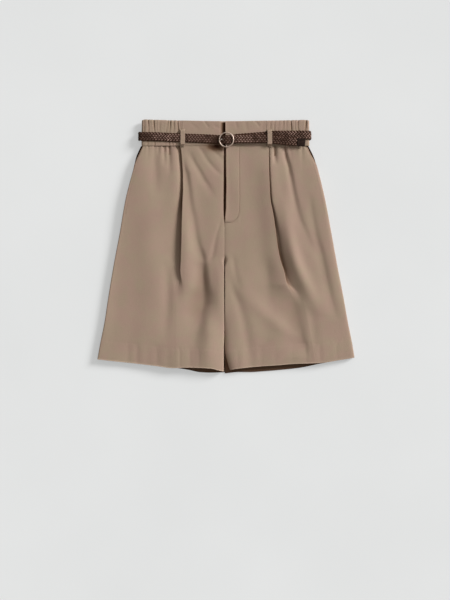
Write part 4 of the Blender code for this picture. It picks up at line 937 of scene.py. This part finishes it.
def makeBraid():
    # nine flat strands; each crosses from edge to edge and back, two over and two under, a ninth behind the last
    size = {
        "strands": 9, "pitch": 6, "width": 17.4, "strand": (2.9, 1.2), "lift": 0.95, "steep": 1.35, "sides": 10,
        "sharp": 0.985, "behindShine": 0.93,
    }
    count, (strandWidth, strandThick) = size["strands"], size["strand"]
    path, run = strapPath()
    across, out = frameAlong(path, yAxis)
    reach = (size["width"] - strandWidth * 0.72) / 2
    angle = np.linspace(0, 2 * math.pi, size["sides"], endpoint=False)
    wide, tall = rounded(np.cos(angle), 0.75) * strandWidth / 2, rounded(np.sin(angle), 0.85) * strandThick / 2
    rings, marks = [], []
    for strand in range(count):
        phase = run / (count * size["pitch"]) + strand / count
        swing = np.arcsin(size["sharp"] * np.sin(2 * math.pi * phase)) / math.asin(size["sharp"])
        crossing = ((phase + 0.25) % 0.5) * 2 * count                    # 0 at one edge, 9 at the other
        atEdges = ease(crossing, 0, 1) * ease(crossing, count, count - 1)
        height = np.clip(np.cos(2 * math.pi * (crossing - 1.5) / 4) * size["steep"], -1, 1) * atEdges
        centre = path + across * (swing * reach)[:, None] + out * (size["lift"] * height)[:, None]
        heading = along(centre)
        flat = unit(np.cross(out, heading))
        lean = np.cross(heading, flat)
        rings.append(centre[:, None] + flat[:, None] * wide[:, None] + lean[:, None] * tall[:, None])
        shine = np.interp(centre[:, 0], beltShine["x"], beltShine["share"])
        shine = shine - 0.1 * ease(centre[:, 0], 84, 110) * ease(centre[:, 1], 217, 207)     # low down near the tip
        shine = np.where(centre[:, 2] > 9, shine, size["behindShine"])
        # painted highlight on each strand's upper and lower faces, by how high the strand lies over the others
        marks.append((np.clip(height, 0, 1) * shine)[:, None] * np.abs(np.sin(angle)))
    uv = (run[None, :, None] + 31 * np.arange(count)[:, None, None], np.linspace(0, 6, size["sides"]))
    addTubes("beltBraid", "belt_strap", np.array(rings), braidLeather, np.array(marks), uv)


makeBraid()
print("braid made")


def strip(path, side, width, thick, sides, power=0.35):
    # one tube's rings along a path, with a rounded oblong section of this width and thickness
    across, out = frameAlong(path, side)
    angle = np.linspace(0, 2 * math.pi, sides, endpoint=False)
    wide, tall = rounded(np.cos(angle), power), rounded(np.sin(angle), power)
    width, thick = (np.broadcast_to(value, len(path))[:, None, None] / 2 for value in (width, thick))
    rings = path[:, None] + across[:, None] * wide[:, None] * width + out[:, None] * tall[:, None] * thick
    return rings[None], np.abs(wide) ** 6                # and marks down both edges


def makeTip():
    # smooth leather folded over the braid's end, its corners rounded off
    size = {
        "from": 141.9, "to": 158, "y": 208.2, "fall": -0.1, "z": 17.4, "thick": 2.2, "width": 15.8, "corner": 0.30,
    }
    last = 0.84 + 0.16 * np.sin(np.linspace(0.12, 1, 10) * math.pi / 2)
    share = np.concatenate([[0, 0.03], np.linspace(0.08, 0.84, 12), last])
    x = size["from"] + (size["to"] - size["from"]) * share
    cut = np.clip((share - 0.8) / 0.2, 0, 1)
    width = size["width"] * (1 - size["corner"] * cut ** 2.2)
    thick = size["thick"] * (1 - 0.45 * cut ** 4) * (1 - 0.25 * bell(share, 0.04))
    path = grid(x, size["y"] + size["fall"] * (x - size["from"]), size["z"])
    rings, wearAndPaintedLight = strip(path, yAxis, width, thick, 32)
    return addTubes("beltTip", "belt_tip", rings, smoothLeather, wearAndPaintedLight)


def makeTab():
    # leather folded round the buckle's bar and sewn on the strap's start
    size = {"width": 15, "thick": 1, "y": 212.6, "bar": (0.8, 17), "reach": 1.7}
    over = table("x z", (19.2, 15.3), (15.5, 15.3), (12, 15.3), (9.5, 15.6), (7, 16.1))
    under = table("x z", (7, 14.4), (9.5, 14.1), (12, 14), (15.5, 14), (19.2, 14))
    turn = np.radians(np.linspace(60, 300, 22))
    x = np.concatenate([over["x"], size["bar"][0] + size["reach"] * np.cos(turn), under["x"]])
    z = np.concatenate([over["z"], size["bar"][1] + size["reach"] * np.sin(turn), under["z"]])
    rings, wearAndPaintedLight = strip(grid(x, size["y"], z), yAxis, size["width"], size["thick"], 24)
    addTubes("buckleTab", "buckle_tab", rings, smoothLeather, wearAndPaintedLight)


def makeRing():
    # a round wire bent to a circle, tilted about Y, with a straight bar sunk into it
    ring = {
        "at": (0.8, 212.4, 19.1), "radius": 14.2, "wire": 1.3, "tilt": 7, "barDrop": 2.1, "bar": 0.9,
        "steps": 120, "sides": 20,
    }
    around, section = (np.linspace(0, 2 * math.pi, ring[key], endpoint=False) for key in ("steps", "sides"))
    around, lean = around[:, None], math.radians(-ring["tilt"])
    radius = ring["radius"] + ring["wire"] * np.cos(section)
    x, y, z = np.cos(around) * radius, np.sin(around) * radius, ring["wire"] * np.sin(section)
    hoop = grid(x * math.cos(lean) + z * math.sin(lean), y, -x * math.sin(lean) + z * math.cos(lean))
    hoop = (hoop + np.array(ring["at"]))[None]
    addTubes("buckleRing", "buckle_ring", hoop, ringMetal, closed=True)
    y = np.linspace(-ring["radius"] + 0.3, ring["radius"] - 0.3, 24)
    end = bell(np.abs(y) - ring["radius"], 2.2)
    path = grid(ring["at"][0], ring["at"][1] + y, ring["at"][2] - ring["barDrop"] * (1 - end ** 2))
    thick = 2 * ring["bar"] * (1 + 0.25 * end)
    rings, _ = strip(path, xAxis, thick, thick, 16, 1)
    addTubes("buckleBar", None, rings, ringMetal)


def makeProng():
    # a tapered pin: up through the braid, over it, and resting on the ring's right rim
    size = {"y": 213, "wire": 0.78, "taper": 0.35, "steps": 40, "sides": 14}
    route = np.array([(-2.6, 16.6), (-3.2, 17.5), (-4.2, 19.1), (-5.1, 20.4), (-6.6, 20.9), (-9.5, 20.6),
                      (-12.5, 20), (-15, 19.5)], float)
    run = lengths(route)
    at = np.linspace(0, run[-1], size["steps"])
    rows = table("s x z", *[(s, *p) for s, p in zip(run, route)])
    path = grid(through(rows, "x", at), size["y"], through(rows, "z", at))
    share = at / run[-1]
    wire = size["wire"] * (1 - size["taper"] * ease(share, 0.5, 0.95)) * np.sqrt(np.clip(1.02 - share ** 30, 0.02, 1))
    rings, _ = strip(path, yAxis, 2 * wire, 2 * wire, size["sides"], 1)
    darkenedAndHighlight = 0.92 - 1.92 * bell(path[:, 0] + 9, 1.5)    # darker all along, but for a spot of painted highlight
    addTubes("buckleProng", "buckle_prong", rings, ringMetal, darkenedAndHighlight[:, None])


tip = makeTip()
makeTab()
makeRing()
makeProng()
print("buckle made")

loopRows = table(
    "x top bottom bridge foot",
    (-86.7, 234.8, 199.6, 16.9, 14.05), (87, 233.4, 199.4, 19.9, 14.05),
    (-96, 236, 202.4, 0.55, 3.1), (0, 236, 202.4, 0.55, 3.1), (96, 236, 202.4, 0.55, 3.1),
)
loopNodes = {
    "beltLoopFrontRight": "loop_front_right", "beltLoopFrontLeft": "loop_front_left",
    "beltLoopBackRight": "loop_back_right", "beltLoopBackCentre": "loop_back_centre",
    "beltLoopBackLeft": "loop_back_left",
}


def makeLoop(row, name, node):
    # a folded strip: flat on the band, up over the belt, and down again, its sides swelling a little
    size = {"width": 9.6, "thick": 1.1, "rings": 70}
    top, bottom, foot, bridge = (row[key] for key in ("top", "bottom", "foot", "bridge"))
    y = np.linspace(top, bottom, size["rings"])
    rise = ease(y, top - 1.2, top - 3.6) * ease(y, bottom + 1.8, bottom + 4.8)
    path = grid(row["x"] + 0.25 * np.sin((y - bottom) / 9), y, foot + (bridge - foot) * rise)
    width = size["width"] * (1 - 0.05 * rise + 0.02 * np.sin(y / 2.3))
    rings, wearAndPaintedLight = strip(path, xAxis, width, size["thick"], 28)
    return addTubes(name, node, rings, twill, wearAndPaintedLight * 0.5)


loops = [makeLoop(row, *names) for row, names in zip(loopRows, loopNodes.items())]
print("loops made")


def onPiece(piece, places):
    # the places with the piece's height there, found by looking straight down on it
    heights = []
    for x, y in places:
        hit, at, _, _ = piece.ray_cast(Vector((x * mm, y * mm, 0.2)), Vector((0, 0, -1)))
        heights.append(at.z / mm if hit else np.nan)
    return np.column_stack([places, heights])


def addStitches(name, paths, piece, length=2.3, gap=0.8, radius=0.24, material=thread, slot="twill"):
    # small pods along bent lines on a piece: rings round each stitch, arched, and pressed in at both ends
    pod = {
        "at": np.array([-1, -0.75, 0, 0.75, 1]), "fat": np.array([0.35, 0.85, 1, 0.85, 0.35]), "sides": 6, "step": 1.2,
    }
    starts, ends = [], []
    for path in paths:
        path = np.asarray(path, float)
        run = lengths(path)
        start = np.arange(gap / 2, run[-1] - length, length + gap)
        for places, at in ((starts, start), (ends, start + length)):
            places.append(np.stack([np.interp(at, run, path[:, k]) for k in range(2)], -1))
    a, b = onPiece(piece, np.concatenate(starts)), onPiece(piece, np.concatenate(ends))
    ok = np.abs(a[:, 2] - b[:, 2]) < pod["step"]         # both ends found, on one level
    a, b = a[ok], b[ok]
    heading = unit(b - a)
    side = np.cross(heading, (0, 0, 1))
    up = np.cross(side, heading)
    angle = np.linspace(0, 2 * math.pi, pod["sides"], endpoint=False)
    middle = (a + b)[:, None] / 2 + heading[:, None] * (pod["at"][:, None] * length / 2)
    middle = middle + up[:, None] * (radius * (0.55 - 0.6 * pod["at"] ** 2))[:, None]
    section = np.cos(angle)[:, None] * side[:, None, None] + np.sin(angle)[:, None] * up[:, None, None]
    rings = middle[:, :, None] + section * (pod["fat"] * radius)[:, None, None]
    uv = (np.arange(len(pod["at"]))[:, None] * length / 4, np.arange(pod["sides"]) / pod["sides"])
    return addTubes(name, None, rings, material, uv=uv)


bpy.context.view_layer.update()
# where the bands' rows run, their distance from the edge, and how far in the pocket's row lies
sewing = {"band": {right: (-85.5, -3.6), left: (0.8, 80.5)}, "fromEdge": 2.1, "pocket": 6.5}
tacked = {"length": 1.2, "gap": 0.1, "radius": 0.22}
stitches = []
for side, name in sideNames.items():
    x = np.linspace(*sewing["band"][side], 60)
    rows = [grid(x, y) for y in (shorts["seam"] + sewing["fromEdge"], through(waistTop, "y", x) - sewing["fromEdge"])]
    stitches.append(addStitches("bandStitches" + name.capitalize(), rows, frontBands[side]))
stitches.append(addStitches("flyStitches", [flyStitch], fronts[left]))
tack = [((-1.6, y), (11.5, y)) for y in (48.9, 47.9)]
stitches.append(addStitches("flyTack", tack, fronts[left], length=1.5, gap=0.1, radius=0.3))
for piece, row, word in zip(loops, loopRows, ("Right", "Left")):
    x, top, bottom = row["x"], row["top"], row["bottom"]
    paths = [((x + off, top - 1), (x + off, bottom + 1)) for off in (-3.4, 3.4)]
    tacks = [((x - 3.8, y), (x + 3.8, y)) for y in (top - 0.8, top - 1.5, bottom + 0.8, bottom + 1.5)]
    stitches.append(addStitches("loopStitches" + word, paths, piece, length=2, gap=0.7, radius=0.2))
    stitches.append(addStitches("loopTacks" + word, tacks, piece, **tacked))
for side, name in sideNames.items():
    y = np.linspace(shorts["seam"] - 3, shorts["pocketEnd"] + 4, 50)
    row = grid(shorts["centre"] + side * (through(outline, name, y) - sewing["pocket"]), y)
    stitches.append(addStitches("pocketStitches" + name.capitalize(), [row], fronts[side]))
tipRows = [((143.5, 214), (154, 213)), ((143.5, 202.2), (154, 201.2)), ((143.3, 213.6), (143.3, 202.4))]
stitches.append(addStitches("tipStitches", tipRows, tip, length=1.7, gap=0.7, radius=0.17, material=smoothLeather,
                            slot="smooth_leather"))
print("stitches made:", len(stitches))
